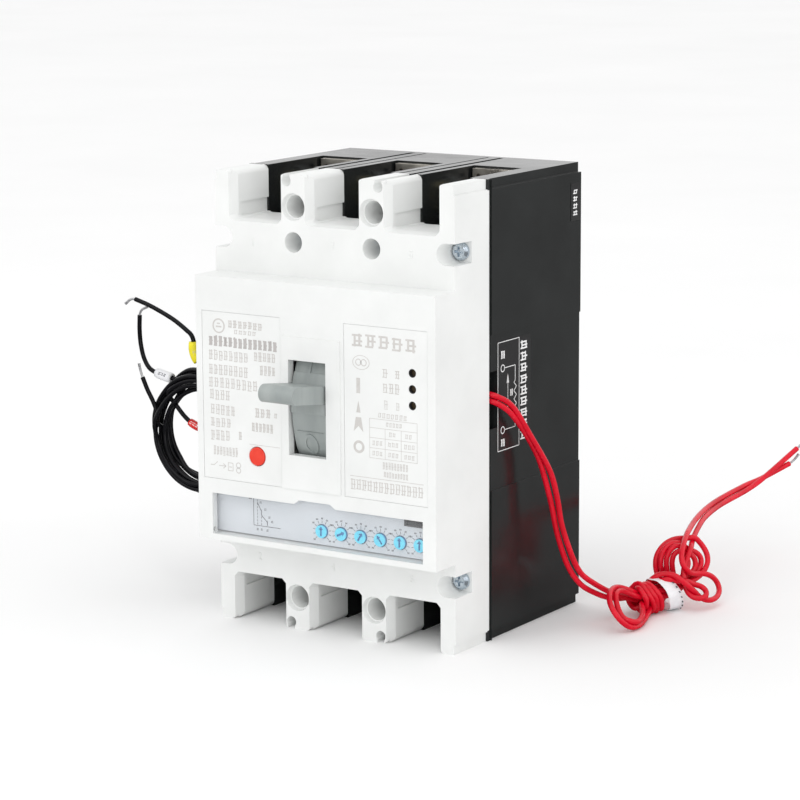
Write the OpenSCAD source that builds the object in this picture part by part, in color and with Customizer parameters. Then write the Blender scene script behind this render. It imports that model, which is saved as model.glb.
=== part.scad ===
// Molded case circuit breaker, three poles, electronic trip unit.
// Millimetres. +Z up, the front faces -Y. The origin is under the middle of the case,
// between the tip of the handle and the back plane.

/* [Case] */
// Width of the case over its three poles
case_w = 92; // [91:0.5:94]
// Height of the case, load end to line end
case_h = 150; // [150:0.5:154]
// Depth from the back plane to the seam between base and cover
base_d = 58; // [57.5:0.5:59]
// Depth from the back plane to the front of the terminal flanges
flange_d = 78.5; // [78:0.5:80]
// Depth from the back plane to the raised front face
face_d = 90; // [90:0.5:91]
// Height of the lower step of the raised front
block_z0 = 29.6; // [29:0.2:29.8]
// Height of the upper step of the raised front
block_z1 = 116.9; // [116:0.2:118]
// Wall thickness of base and cover
wall = 3; // [2.8:0.1:3.2]

/* [Poles and mounting] */
// Distance between the poles, also the width of the mounting pattern
pole_pitch = 30; // [30:0.1:30.2]
// Width of a terminal slot
slot_w = 18; // [17:0.2:18.4]
// Height of a terminal slot at either end of the case
slot_h = 15.7; // [15:0.1:16]
// Height of the mounting pattern
mount_h = 129; // [128.5:0.1:129.5]
// Diameter of a mounting hole
mount_d = 4.5; // [4.2:0.1:4.8]
// Diameter of the bore for the mounting screw's head
mount_head_d = 7.4; // [7.2:0.1:7.8]

/* [Handle] */
// Sideways offset of the handle from the middle of the case
handle_x = -2.1; // [-2.4:0.1:0]
// Height of the handle's pivot
handle_z = 76.8; // [76.6:0.1:77]
// Depth of the handle's pivot from the back plane
pivot_d = 54; // [54:0.1:54.2]
// Radius of the handle's curved shutter
shutter_r = 36; // [35.8:0.1:36]
// Distance from the pivot to the tip of the handle
handle_r = 54.6; // [50:0.1:56]
// Width of the handle and its shutter
handle_w = 13; // [12:0.1:13]
// Thickness of the handle's blade
blade_t = 5.8; // [5:0.1:6.4]
// Angle of the handle above its middle, tripped position
handle_a = 8; // [7.5:0.1:8.5]

/* [Trip unit] */
// Diameter of a setting dial
dial_d = 4.2; // [4:0.1:4.6]
// Distance between the setting dials
dial_pitch = 7.5; // [7.4:0.02:7.5]
// Sideways place of the first dial
dial_x = 0.2; // [0:0.1:0.4]
// Height of the dials
dial_z = 36.4; // [36:0.1:36.6]
// Diameter of the trip button
button_d = 6; // [5.4:0.1:6]

/* [Leads] */
// Diameter of the red leads
red_d = 1.9; // [1.7:0.1:2]
// Diameter of the black leads
black_d = 1.6; // [1.4:0.1:1.7]

/* [Hidden] */
$fn = 48;

half_w = case_w / 2;
top = case_h;
poles = [-pole_pitch, 0, pole_pitch];
phase_walls = [-pole_pitch / 2, pole_pitch / 2];
y_shift = 54;
gap = 0.1;

// Inside of the case
bay_z0 = 26;
bay_z1 = 124;
back_t = 5;
phase_t = 3;
shelf_d = 26;
plate_t = 2.5;
plate_w = 16.4;
passage_t = 3.2;
base_proud = 0.5;
middle_proud = 0.1;
end_h = 3.2;
mount_z0 = (top - mount_h) / 2;
mount_seat_d = 30;
mouth_r = 4.5;
mouth_h = 1.8;
ends = [0, 1];

// Fasteners of the case
corner_x = half_w - 3.7;
corner_z = [22, 128.2];
pocket_r = 3.5;
pocket_d = flange_d - 10;
cover_screw_r = 1.5;
centre_z = 128.1;
centre_r = 3.35;
centre_seat_d = 68;

// Wire slots beside the seam
wire_z0 = 69.6;
wire_z1 = 88.2;
wire_depth = 4.8;

// Front openings
recess_x0 = -40.5;
recess_x1 = 41.1;
recess_z0 = 31.5;
recess_z1 = 45.2;
notch_h = 1.4;
notch_half = 6;
notch_slope = 2;
window_t = 1.2;
hinge_z = 32.8;
hinge_d = 88.9;
panel_d = 86;
panel_t = 1.4;
opening_half_w = 7.2;
opening_half_h = 15.5;
button_x = -22.2;
button_z = 59.2;
led_x = 37.4;
led_z = [81.8, 87, 92.1];
led_hole_r = 1.4;
label_l = [-43.6, 50.1, 31, 55.4];
label_r = [11.8, 50, 31.2, 55.7];
label_depth = 0.4;
label_t = 0.3;
surround = [-11.8, 50.2, 22.3, 49.6];

// Operating mechanism: [depth from the back, height] of its axes
handle_p = [pivot_d, handle_z];
crossbar_p = [26, 62];
cradle_p = [58, 99];
link_p = [61, 90];
link_l = 19;
upper_a = -49.87;
lower_a = 6.59;
toggle_p = [link_p[0] - link_l * cos(upper_a), link_p[1] + link_l * sin(upper_a)];
drive_p = [2, 16];
contact_open = 6.8;
arm_w = 8;
arm_t = 4;
arm_top = 106;
arm_bottom = 60;
arm_back = 10;
tip_t = 1.4;
crossbar_r = 6;
plate_inner = 9.4;
frame_t = 1.4;
pin_r = 1.2;
run_gap = 0.05;
trip_bar_p = [46, 40];
trip_bar_r = 2.5;
bearing_gap = 0.08;

// Line and load conductors
line_back = 10;
load_back = 14;

// Leads: points of each free route, [x, y, z], in the part's own frame
red_exit_1 = [[44, -1.9, 80.8], [46.6, -1.6, 80.4], [49.3, 4.6, 76.4], [51.2, 13.5, 65.1],
    [54, 21, 52.6], [55.1, 24, 43], [56, 26, 32.8], [58.6, 30, 20.2], [61.2, 34, 14], [66, 40, 8.4]];
red_exit_2 = [[44, -1.9, 78.8], [46.6, -1.7, 78.3], [48.8, 3.4, 74.8], [49.6, 11.5, 67.2],
    [51.2, 18, 57.6], [52.4, 21, 49], [53.4, 23.5, 40], [54.3, 26, 29.7], [56.6, 29.5, 18.4],
    [59.8, 34, 11.4], [64.7, 40, 6.4]];
red_tail_1 = [[80.2, 62.4, 15.7], [80.3, 63.6, 19.6], [78.2, 69.5, 22.1], [71.7, 90.3, 24.4],
    [67.6, 111.9, 25.7], [68.2, 134, 27.6], [70.4, 145, 28.9], [75.5, 156.8, 32.7]];
red_tail_2 = [[80.8, 64.8, 14], [81, 66.4, 17.6], [79.4, 71.5, 19.8], [72.9, 91.2, 22.9],
    [69, 111.9, 24.4], [69.9, 133.8, 26.6], [72, 144.2, 29.8], [76.2, 161.5, 37.5]];
black_exit = [[[-44, -1.4, 80], [-49, 1, 79], [-54, 3, 76.5], [-60, 4, 75]],
    [[-44, -1.4, 78], [-49, 2, 76], [-54, 5, 73.5], [-60, 6, 73]],
    [[-44, -1.4, 76], [-48, 1, 73], [-52, 3.2, 65], [-58, 4.4, 58.2], [-66, 4.6, 55.6],
    [-75, 4.4, 55.6], [-80.5, 4.2, 58], [-86, 4, 64]]];
black_tail = [[[-63, 4, 70], [-69, 4, 73.5], [-72.8, 4, 76.5], [-75.6, 4, 80], [-77, 4, 83],
    [-77.1, 4, 85.6], [-77.5, 4, 87.8], [-80, 4, 89.9], [-86, 4, 93.4], [-95, 4, 97],
    [-102, 4, 99]],
    [[-80, 3, 72.4], [-84.6, 3, 72.4], [-89, 3.4, 73.2], [-93.4, 4, 74], [-97, 4.8, 75],
    [-99.9, 5.5, 78.2], [-101.6, 6, 83], [-102, 6, 88], [-101.8, 6, 93.2]],
    [[-91.6, 2, 56], [-92, 2, 60], [-93.6, 2, 64], [-96, 2, 68], [-98, 2, 72.2]]];
strip_l = 5;
hank_a = [70, 45];
hank_b = [79, 68];
hank_r = 11;
hank_h = 15;
coil_c = [-73.2, 4, 55];
coil_r = 19;
coil_t = 3.9;

// ---------- helpers ----------

// Puts a piece drawn from the back plane (y = -depth) into the part's frame
module placed() { translate([0, y_shift, 0]) children(); }

// Block from two opposite corners, each [x, depth, z]
module block(a, b) {
    low = [min(a[0], b[0]), -max(a[1], b[1]), min(a[2], b[2])];
    high = [max(a[0], b[0]), -min(a[1], b[1]), max(a[2], b[2])];
    translate(low) cube(high - low);
}

// Round bar along the depth, at [x, z], between two depths
module bar_y(x, z, r, d0, d1) {
    translate([x, -min(d0, d1), z]) rotate([90, 0, 0]) cylinder(r = r, h = abs(d1 - d0));
}

// Round bar across the case, at [depth, z], between two x
module bar_x(p, r, x0, x1) {
    translate([x0, -p[0], p[1]]) rotate([0, 90, 0]) cylinder(r = r, h = x1 - x0);
}

// Outline drawn in [-depth, height], given thickness between x0 and x1
module slab_x(x0, x1) {
    translate([x0, 0, 0]) rotate([90, 0, 90]) linear_extrude(x1 - x0) children();
}

// Outline drawn in [x, height], given thickness between two depths
module slab_y(d0, d1) {
    translate([0, -d0, 0]) rotate([90, 0, 0]) linear_extrude(d1 - d0) children();
}

// Two equal circles and the square between them, for links and slots
module link_shape(a, b, r) {
    length = norm(b - a);
    turn = atan2(b[1] - a[1], b[0] - a[0]);
    translate(a) rotate(turn) union() {
        circle(r);
        translate([length, 0]) circle(r);
        translate([0, -r]) square([length, 2 * r]);
    }
}

// Both ends of the case: the shape at the load end and its mirror at the line end
module both_ends() {
    for (e = ends) translate([0, 0, e * top]) mirror([0, 0, e]) children();
}

// Both sides of the case
module both_sides() {
    for (s = [0, 1]) mirror([s, 0, 0]) children();
}

// Turns a piece about an axis across the case, at [depth, z]
module turned(p, a) {
    translate([0, -p[0], p[1]]) rotate([a, 0, 0]) translate([0, p[0], -p[1]]) children();
}

// Catmull-Rom point at t between p1 and p2
function spline_point(p0, p1, p2, p3, t) = 0.5 * (2 * p1 + (p2 - p0) * t
    + (2 * p0 - 5 * p1 + 4 * p2 - p3) * pow(t, 2) + (3 * p1 - p0 - 3 * p2 + p3) * pow(t, 3));
function at(p, i) = p[max(0, min(len(p) - 1, i))];
function smooth_route(p, steps) = concat(
    [for (i = [0:len(p) - 2]) for (k = [0:steps - 1])
        spline_point(at(p, i - 1), p[i], p[i + 1], at(p, i + 2), k / steps)],
    [p[len(p) - 1]]);
function unit(v) = v / norm(v);
function tangent(p, i) = unit(at(p, i + 1) - at(p, i - 1));
function side(t) = unit(cross(t, abs(t[1]) > 0.9 ? [1, 0, 0] : [0, 1, 0]));

// Eight-sided tube along a route
module tube(points, r, steps = 2, sides = 8) {
    p = smooth_route(points, steps);
    n = len(p);
    rings = [for (i = [0:n - 1]) for (k = [0:sides - 1])
        let (t = tangent(p, i), u = side(t), v = cross(t, u), a = 360 * k / sides)
        p[i] + r * (u * cos(a) + v * sin(a))];
    walls = [for (i = [0:n - 2]) for (k = [0:sides - 1])
        let (a = i * sides + k, b = i * sides + (k + 1) % sides)
        each [[a, a + sides, b + sides], [a, b + sides, b]]];
    first = [for (k = [0:sides - 1]) k];
    last = [for (k = [sides - 1:-1:0]) (n - 1) * sides + k];
    polyhedron(rings, concat([first], walls, [last]));
}

// ---------- case ----------

module mount_holes(r, d0, d1) {
    for (x = phase_walls) both_ends() bar_y(x, mount_z0, r, d0, d1);
}

// Flared mouths of the mounting holes in the front of the flanges
module mount_mouths() {
    for (x = phase_walls) both_ends() translate([x, mouth_h - flange_d, mount_z0])
        rotate([90, 0, 0]) cylinder(r1 = mouth_r - 0.5, r2 = mouth_r, h = mouth_h + 0.01);
}

// Barrier slots beside each mounting hole, run along the depth
module barrier_slots(r, d0, d1) {
    for (s = [-1, 1]) both_ends() {
        bar_y(s * (pole_pitch / 2 + 2.55), 2.2, r, d0, d1);
        block([s * (pole_pitch / 2 + 2.55) - r * 0.75, d0, -1],
            [s * (pole_pitch / 2 + 2.55) + r * 0.75, d1, 2.2]);
    }
}

module terminal_pockets(d0, d1) {
    for (x = poles) both_ends()
        block([x - slot_w / 2, d0, -1], [x + slot_w / 2, d1, slot_h + 2]);
}

module base_shell() {
    block([-half_w - base_proud, 0, 0], [half_w + base_proud, base_d, top]);
    // Corner tongues that reach into the cover
    both_sides() both_ends() block([half_w - 5, base_d - 1, 0], [half_w, base_d + 1, 3.4]);
}

module base_bays() {
    for (x = poles) {
        half = x == 0 ? (pole_pitch - phase_t) / 2 : (half_w - wall - (pole_pitch + phase_t) / 2) / 2;
        centre = x == 0 ? 0 : sign(x) * (half_w - wall - half);
        block([centre - half, back_t, bay_z0], [centre + half, base_d + 1, bay_z1]);
    }
}

// The upper and lower thirds of the base's sides stand proud; its ends are set back
module base_side_relief() {
    both_sides() {
        both_ends() block([half_w - 0.7, -1, -1], [half_w + 1, base_d - 1, end_h]);
        block([half_w + middle_proud, -1, 49.5], [half_w + 1, base_d + 1, 100]);
        // Narrow land beside the seam
        block([half_w, base_d - 0.8, -1], [half_w + 1, base_d + 1, top + 1]);
    }
}

module base_housing() {
    color([0.2, 0.21, 0.21]) placed() difference() {
        base_shell();
        base_bays();
        base_side_relief();
        terminal_pockets(shelf_d, base_d + 2);
        // Nut pockets and screw tip clearances behind each terminal
        for (x = poles) both_ends() {
            block([x - 5.6, 19.5, 5.4], [x + 5.6, shelf_d + 1, 15.6]);
            bar_y(x, mount_z0, 3.4, 12, shelf_d);
        }
        // Passages for the conductors
        for (x = poles) both_ends()
            block([x - plate_w / 2 - gap, shelf_d - gap, slot_h - 1],
                [x + plate_w / 2 + gap, shelf_d + passage_t, bay_z0 + 1]);
        mount_holes(mount_d / 2, -1, base_d + 1);
        mount_holes(mount_head_d / 2, mount_seat_d, base_d + 3);
        barrier_slots(1.2, 3, base_d + 2);
        // Shallow second groove on each side of the middle pole
        both_sides() both_ends()
            block([pole_pitch / 2 - 3, 3, -1], [pole_pitch / 2 - 2.1, base_d + 1, 2.2]);
        for (x = [-corner_x, corner_x]) for (z = corner_z)
            bar_y(x, z, cover_screw_r + gap, base_d - 20, base_d + 2);
        for (x = phase_walls) bar_y(x, centre_z, cover_screw_r + gap, base_d - 20, base_d + 1);
        both_sides() block([half_w - wall - 1, base_d - wire_depth, wire_z0],
            [half_w + 1, base_d + 1, wire_z1]);
        // Seats of the crossbar and the trip bar in the walls between the poles
        for (x = phase_walls) {
            bar_x(crossbar_p, crossbar_r + bearing_gap, x - 4, x + 4);
            block([x - 4, crossbar_p[0], crossbar_p[1] - crossbar_r - bearing_gap],
                [x + 4, base_d + 1, crossbar_p[1] + crossbar_r + bearing_gap]);
            bar_x(trip_bar_p, trip_bar_r + bearing_gap, x - 4, x + 4);
            block([x - 4, trip_bar_p[0], trip_bar_p[1] - trip_bar_r - bearing_gap],
                [x + 4, base_d + 1, trip_bar_p[1] + trip_bar_r + bearing_gap]);
        }
    }
}

module cover_outside() {
    block([-half_w, base_d, 0], [half_w, flange_d, top]);
    block([-half_w, base_d, block_z0], [half_w, face_d, block_z1]);
    // Raised surround of the handle
    block([surround[0], face_d - 1, surround[1]],
        [surround[0] + surround[2], face_d + 0.5, surround[1] + surround[3]]);
}

module cover_hollow() {
    x = half_w - wall;
    difference() {
        union() {
            block([-x, base_d - 1, 31.6], [x, face_d - 2.5, block_z1 - 2.4]);
            block([-x, base_d - 1, bay_z0], [x, flange_d - wall, bay_z1]);
        }
        // Ribs that carry on the walls between the poles
        for (x = phase_walls) block([x - 1.2, base_d, 50], [x + 1.2, face_d, bay_z1 + 1]);
    }
}

module window_outline(grow) {
    x = (notch_half + notch_slope);
    polygon([[recess_x0 - grow, recess_z0 - grow], [recess_x1 + grow, recess_z0 - grow],
        [recess_x1 + grow, recess_z1 + grow], [x + grow, recess_z1 + grow],
        [notch_half + grow, recess_z1 + notch_h + grow],
        [-notch_half - grow, recess_z1 + notch_h + grow], [-x - grow, recess_z1 + grow],
        [recess_x0 - grow, recess_z1 + grow]]);
}

// Outline of a flared slot mouth, with its two inner corners cut, at one depth
function mouth_outline(half, deep, cut, y) = [[-half, y, -1], [half, y, -1], [half, y, deep - cut],
    [half - cut, y, deep], [cut - half, y, deep], [-half, y, deep - cut]];

// Tapered mouth: wider at the front face by the flare, the slot's own size behind it
module slot_mouth(flare, flare_d) {
    cut = 1.5;
    front = mouth_outline(slot_w / 2 + flare, slot_h + 0.6, cut, -flange_d - 0.01);
    back = mouth_outline(slot_w / 2, slot_h, cut, flare_d - flange_d);
    polyhedron(concat(front, back), concat([[5, 4, 3, 2, 1, 0], [6, 7, 8, 9, 10, 11]],
        [for (i = [0:5]) [i, (i + 1) % 6, 6 + (i + 1) % 6, 6 + i]]));
}

// Slot in the cover's flange, with round inner corners and a flared mouth
module cover_slots() {
    corner = 1.5;
    flare = 1.4;
    flare_d = 3.5;
    for (x = poles) both_ends() {
        slab_y(base_d - 1, flange_d + 1) translate([x, 0]) {
            translate([-slot_w / 2, -1]) square([slot_w, slot_h + 1 - corner]);
            translate([-slot_w / 2 + corner, 0]) square([slot_w - 2 * corner, slot_h]);
            for (s = [-1, 1]) translate([s * (slot_w / 2 - corner), slot_h - corner]) circle(corner);
        }
        translate([x, 0, 0]) slot_mouth(flare, flare_d);
        // Set-back lower part of the slot's walls
        block([x - slot_w / 2 - 0.7, base_d - 1, slot_h - 5],
            [x + slot_w / 2 + 0.7, flange_d - flare_d - 1.5, slot_h - 0.4]);
    }
}

// Waste outside a quarter round at a tooth's free corner
module corner_waste(s, r) {
    difference() {
        translate([s > 0 ? 0 : -r, -0.01]) square(r);
        translate([s * r, r]) circle(r);
    }
}

// Rounds the free outer corners of the flange's teeth, along the slot and at its wider mouth
module tooth_rounds() {
    for (x = poles) for (s = [-1, 1]) both_ends() {
        translate([x + s * (slot_w / 2 - 0.01), 0, 0]) slab_y(base_d - 1, flange_d + 1)
            corner_waste(s, 2);
        translate([x + s * (slot_w / 2 + 0.9), 0, 0]) slab_y(flange_d - 2, flange_d + 1)
            corner_waste(s, 1.8);
    }
}

// The cover's sides are set back at both ends, as the base's are
module cover_end_relief() {
    both_sides() both_ends() block([half_w - 0.6, base_d - 1, -1], [half_w + 1, flange_d + 1, end_h]);
}

module front_cover() {
    color([0.95, 0.96, 0.955]) placed() difference() {
        cover_outside();
        cover_hollow();
        cover_slots();
        tooth_rounds();
        cover_end_relief();
        slab_y(panel_d - 4, face_d + 1) window_outline(0);
        block([handle_x - opening_half_w, panel_d - 2, handle_z - opening_half_h],
            [handle_x + opening_half_w, face_d + 1, handle_z + opening_half_h]);
        bar_y(button_x, button_z, button_d / 2 + 0.2, panel_d, face_d + 1);
        for (z = led_z) bar_y(led_x, z, led_hole_r, panel_d, face_d + 1);
        for (l = [label_l, label_r])
            block([l[0], face_d - label_depth, l[1]], [l[0] + l[2], face_d + 1, l[1] + l[3]]);
        mount_holes(mount_head_d / 2, base_d - 1, flange_d + 1);
        mount_mouths();
        barrier_slots(1.8, base_d - 1, flange_d + 1);
        for (x = phase_walls) {
            bar_y(x, centre_z, centre_r, centre_seat_d, flange_d + 1);
            bar_y(x, centre_z, cover_screw_r + gap, base_d - 1, centre_seat_d + 1);
        }
        for (z = corner_z) both_sides() {
            bar_y(corner_x + 0.4, z, pocket_r, pocket_d, flange_d + 1);
            block([corner_x + 0.4, pocket_d, z - pocket_r], [half_w + 1, flange_d + 1, z + pocket_r]);
            bar_y(corner_x, z, cover_screw_r + gap, base_d - 1, pocket_d + 1);
        }
        // Notches for the base's corner tongues
        both_sides() both_ends()
            block([half_w - 5 - gap, base_d - 1, -1], [half_w + 1, base_d + 1 + gap, 3.4 + gap]);
        hinge_seats();
    }
}

// Sockets at the lower corners of the recess for the window's hinge pins
module hinge_seats() {
    for (x = [recess_x0 - 2, recess_x1 - 0.5]) bar_x([hinge_d, hinge_z], 0.78, x, x + 2.5);
}

module window_cover() {
    side_gap = 0.5;
    color([0.85, 0.9, 0.92, 0.35]) placed() {
        difference() {
            slab_y(hinge_d - 0.4, hinge_d - 0.4 + window_t) window_outline(-side_gap);
            block([recess_x0 - 1, hinge_d - 2, 0], [recess_x1 + 1, hinge_d + 2, hinge_z - 0.6]);
        }
        bar_x([hinge_d, hinge_z], 0.7, recess_x0 - 1.5, recess_x0 + 3);
        bar_x([hinge_d, hinge_z], 0.7, recess_x1 - 3, recess_x1 + 1.5);
    }
}

// ---------- trip unit ----------

function dial_place(i) = dial_x + dial_pitch * (i - 1);
dial_turns = [0, 65, 32, -35, 0, 0];
port = [31.8, 42.1, 9, 2.1];

module dial_plate() {
    color([0.86, 0.88, 0.9]) placed() difference() {
        block([-42, panel_d - panel_t, 31.9], [42, panel_d, 49]);
        for (i = [1:6]) bar_y(dial_place(i), dial_z, dial_d / 2 + 0.25, panel_d - 3, panel_d + 1);
        block([port[0] - gap, panel_d - 3, port[1] - gap],
            [port[0] + port[2] + gap, panel_d + 1, port[1] + port[3] + gap]);
    }
}

module dial(i) {
    proud = 0.8;
    color([0.5, 0.9, 1]) placed() translate([dial_place(i), 0, dial_z])
        rotate([0, dial_turns[i - 1], 0]) difference() {
            union() {
                bar_y(0, 0, dial_d / 2, panel_d - panel_t - 0.2, panel_d + proud);
                bar_y(0, 0, 1.5, panel_d - 4, panel_d - panel_t);
            }
            slab_y(panel_d + proud - 0.7, panel_d + 2) {
                translate([-0.35, -1.5]) square([0.7, 3]);
                polygon([[-0.9, 0.6], [0.9, 0.6], [0, 1.7]]);
            }
        }
}

module dial_1() { dial(1); }
module dial_2() { dial(2); }
module dial_3() { dial(3); }
module dial_4() { dial(4); }
module dial_5() { dial(5); }
module dial_6() { dial(6); }

board_d = 80.6;

module rotary_switch_bodies() {
    color([0.25, 0.25, 0.27]) placed() for (i = [1:6]) difference() {
        block([dial_place(i) - 3.3, board_d, dial_z - 3.3],
            [dial_place(i) + 3.3, panel_d - panel_t - 0.3, dial_z + 3.3]);
        bar_y(dial_place(i), dial_z, 1.56, panel_d - 4.2, panel_d);
    }
}

module trip_unit_board() {
    chips = [[-30, 34], [-22, 40], [-14, 34], [-35, 41]];
    color([0.1, 0.4, 0.25]) placed() {
        block([-40, board_d - 1.6, 32.4], [41, board_d, 46.5]);
        // Riser to the status lights
        block([33, board_d - 1.6, 46.5], [41, board_d, 95]);
        for (c = chips) block([c[0], board_d, c[1]], [c[0] + 5, board_d + 1.2, c[1] + 4]);
    }
}

module trip_unit_housing() {
    color([0.13, 0.13, 0.14]) placed() difference() {
        union() {
            block([-41, 75.3, 32.2], [41, board_d - 1.6, 42.5]);
            block([-41, base_d + 1, 26.6], [41, 75.3, 42.5]);
        }
        block([-39, 60.5, 28.5], [39, board_d - 3, 41]);
    }
}

module test_port() {
    color([0.22, 0.2, 0.2]) placed() difference() {
        block([port[0], board_d, port[1]], [port[0] + port[2], panel_d + 0.4, port[1] + port[3]]);
        block([port[0] + 0.5, panel_d - 3, port[1] + 0.5],
            [port[0] + port[2] - 0.5, panel_d + 1, port[1] + port[3] - 0.5]);
    }
}

module status_leds() {
    color([0.5, 0.45, 0.35]) placed() for (z = led_z) {
        bar_y(led_x, z, led_hole_r - 0.15, board_d, face_d - 1.6);
        bar_y(led_x, z, 1.9, board_d, board_d + 1);
    }
}

// The button's rod reaches back to the finger of the trip bar
button_rest_gap = 0.3;
// Free travel of the two plungers before they reach the trip bar
plunger_gap = 3.2;
flux = [-33, 50];
shunt = [27, 60.5];
finger_front = trip_bar_p[0] + 1.2;

module trip_button() {
    color([0.93, 0.2, 0.16]) placed() {
        bar_y(button_x, button_z, button_d / 2, face_d - 8, face_d + 0.3);
        bar_y(button_x, button_z, button_d / 2 + 1, face_d - 5.4, face_d - 4);
        bar_y(button_x, button_z, 1.4, finger_front + button_rest_gap, face_d - 8);
    }
}

module spring_coil(r, wire, turns, length, steps = 10) {
    n = turns * steps;
    route = [for (i = [0:n]) [r * cos(360 * i / steps), r * sin(360 * i / steps),
        length * i / n]];
    tube(route, wire, 1, 6);
}

// The button's return spring, and the bracket that it pushes on is the cover's rib
spring_seat_d = 70;

module trip_button_spring() {
    color([0.7, 0.72, 0.74]) placed() translate([button_x, -(face_d - 8.4), button_z])
        rotate([-90, 0, 0]) spring_coil(2.3, 0.3, 5, face_d - 8.8 - spring_seat_d);
}

module trip_bar() {
    finger_w = 6;
    color([0.75, 0.62, 0.4]) placed() {
        bar_x(trip_bar_p, trip_bar_r, -41, 41);
        // Finger for the button
        block([button_x - finger_w / 2, trip_bar_p[0] - 1.2, trip_bar_p[1]],
            [button_x + finger_w / 2, finger_front, button_z + 2.5]);
        // Finger for the flux actuator
        block([flux[0] - 3, trip_bar_p[0] - 1.2, trip_bar_p[1]],
            [flux[0] + 3, finger_front, flux[1] + 2.5]);
        // Finger for the shunt coil
        block([shunt[0] - 3, trip_bar_p[0] - 1.2, trip_bar_p[1]],
            [shunt[0] + 3, finger_front, shunt[1] + 2.5]);
        // Latch arm that holds the cradle's nose
        slab_x(-2, 2) polygon([[-trip_bar_p[0] + 1.5, trip_bar_p[1]],
            [-trip_bar_p[0] - 2, trip_bar_p[1]], [-57.4, 50], [-57.4, 52.6], [-55, 52.6]]);
    }
}

module flux_actuator() {
    color([0.55, 0.57, 0.6]) placed() difference() {
        union() {
            bar_y(flux[0], flux[1], 5.2, 61, 73);
            block([flux[0] - 5, 61.5, 42.5], [flux[0] + 5, 72.5, flux[1]]);
        }
        bar_y(flux[0], flux[1], 1.5, 60, 68);
    }
}

module flux_plunger() {
    color([0.8, 0.82, 0.84]) placed() bar_y(flux[0], flux[1], 1.44, finger_front + plunger_gap, 66);
}

module current_transformers() {
    color([0.12, 0.2, 0.45]) placed() for (x = poles) difference() {
        block([x - 11.5, 5.6, 31], [x + 11.5, 26, 43]);
        block([x - plate_w / 2 - 0.2, load_back - 0.2, 30],
            [x + plate_w / 2 + 0.2, load_back + plate_t + 0.2, 44]);
    }
}

// ---------- operating mechanism ----------

// Radii of the yoke's front plate and of the bar for the springs
yoke_r = 32.4;
hook_r = 29.4;

module ring_sector(r0, r1, a) {
    difference() {
        circle(r1, $fn = 96);
        circle(r0, $fn = 96);
        // Keeps only the part within the angle a on either side of -X
        rotate(180 + a) translate([-2 * r1, 0]) square([4 * r1, 2 * r1]);
        rotate(180 - a) translate([-2 * r1, -2 * r1]) square([4 * r1, 2 * r1]);
    }
}

module handle() {
    sweep = 43.5;
    skin = 2.4;
    step = 0.4;
    band = 10.6;
    nose = blade_t / 2;
    color([0.58, 0.61, 0.62]) placed() turned(handle_p, -handle_a) {
        slab_x(handle_x - handle_w / 2, handle_x + handle_w / 2)
            translate([-handle_p[0], handle_p[1]]) {
                ring_sector(shutter_r - skin, shutter_r - step, sweep);
                ring_sector(shutter_r - skin, shutter_r, band);
                translate([-handle_r + nose, -nose]) square([handle_r - nose - shutter_r + 1, blade_t]);
                translate([-handle_r + nose, 0]) circle(nose);
            }
        // Boss that seats on the yoke
        slab_x(-4, 3) translate([-handle_p[0], handle_p[1]])
            translate([-shutter_r + 1, -3]) square([shutter_r - 1 - yoke_r, 6]);
    }
}

module handle_yoke() {
    leg = [7.8, 9];
    color([0.7, 0.7, 0.68]) placed() turned(handle_p, -handle_a) {
        both_sides() slab_x(leg[0], leg[1]) difference() {
            union() {
                translate([-handle_p[0], handle_p[1]]) circle(4);
                translate([-handle_p[0] - yoke_r, handle_p[1] - 4]) square([yoke_r, 8]);
            }
            translate([-handle_p[0], handle_p[1]]) circle(2 + run_gap);
        }
        block([-leg[1], handle_p[0] + yoke_r - 1.4, handle_p[1] - 4],
            [leg[1], handle_p[0] + yoke_r, handle_p[1] + 4]);
        // Bar that the main springs hook on
        bar_x([handle_p[0] + hook_r, handle_p[1]], 0.9, -leg[1], leg[1]);
    }
}

frame_outline = [[-34, 74], [-34, 84], [-6.5, 84], [-6.5, 95], [-34, 95], [-55, 98],
    [-56, 105], [-66, 105], [-72, 98], [-72, 62], [-62, 50], [-44, 46], [-40, 52], [-40, 70]];

module mechanism_frame() {
    color([0.75, 0.73, 0.6]) placed() {
        both_sides() slab_x(plate_inner, plate_inner + frame_t) difference() {
            polygon(frame_outline);
            translate([-handle_p[0], handle_p[1]]) circle(2);
            translate([-cradle_p[0], cradle_p[1]]) circle(pin_r);
        }
        // Feet on the back wall of the base
        both_sides() block([4.6, back_t, 84], [plate_inner + frame_t, 6.5, 95]);
        // Cross tie at the top
        block([-plate_inner, 65, 103.6], [plate_inner, 57, 105]);
    }
}

module mechanism_pins() {
    color([0.85, 0.85, 0.86]) placed() {
        both_sides() bar_x(handle_p, 2, 7.4, plate_inner + frame_t);
        bar_x(cradle_p, pin_r, -plate_inner - frame_t, plate_inner + frame_t);
        bar_x(link_p, pin_r, -7.1, 7.1);
    }
}

module cradle() {
    color([0.62, 0.62, 0.6]) placed() slab_x(-1.2, 1.2) difference() {
        union() {
            link_shape([-cradle_p[0], cradle_p[1]], [-link_p[0] - 1, link_p[1]], 3);
            link_shape([-link_p[0] - 1, link_p[1]], [-64, 62], 2.4);
            link_shape([-64, 62], [-59.6, 54.6], 1.8);
        }
        translate([-cradle_p[0], cradle_p[1]]) circle(pin_r);
        translate([-link_p[0], link_p[1]]) circle(pin_r);
    }
}

module upper_links() {
    color([0.72, 0.72, 0.7]) placed() both_sides() slab_x(5.9, 7.1) difference() {
        link_shape([-link_p[0], link_p[1]], [-toggle_p[0], toggle_p[1]], 2.8);
        translate([-link_p[0], link_p[1]]) circle(pin_r + run_gap);
        translate([-toggle_p[0], toggle_p[1]]) circle(pin_r + run_gap);
    }
}

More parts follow.
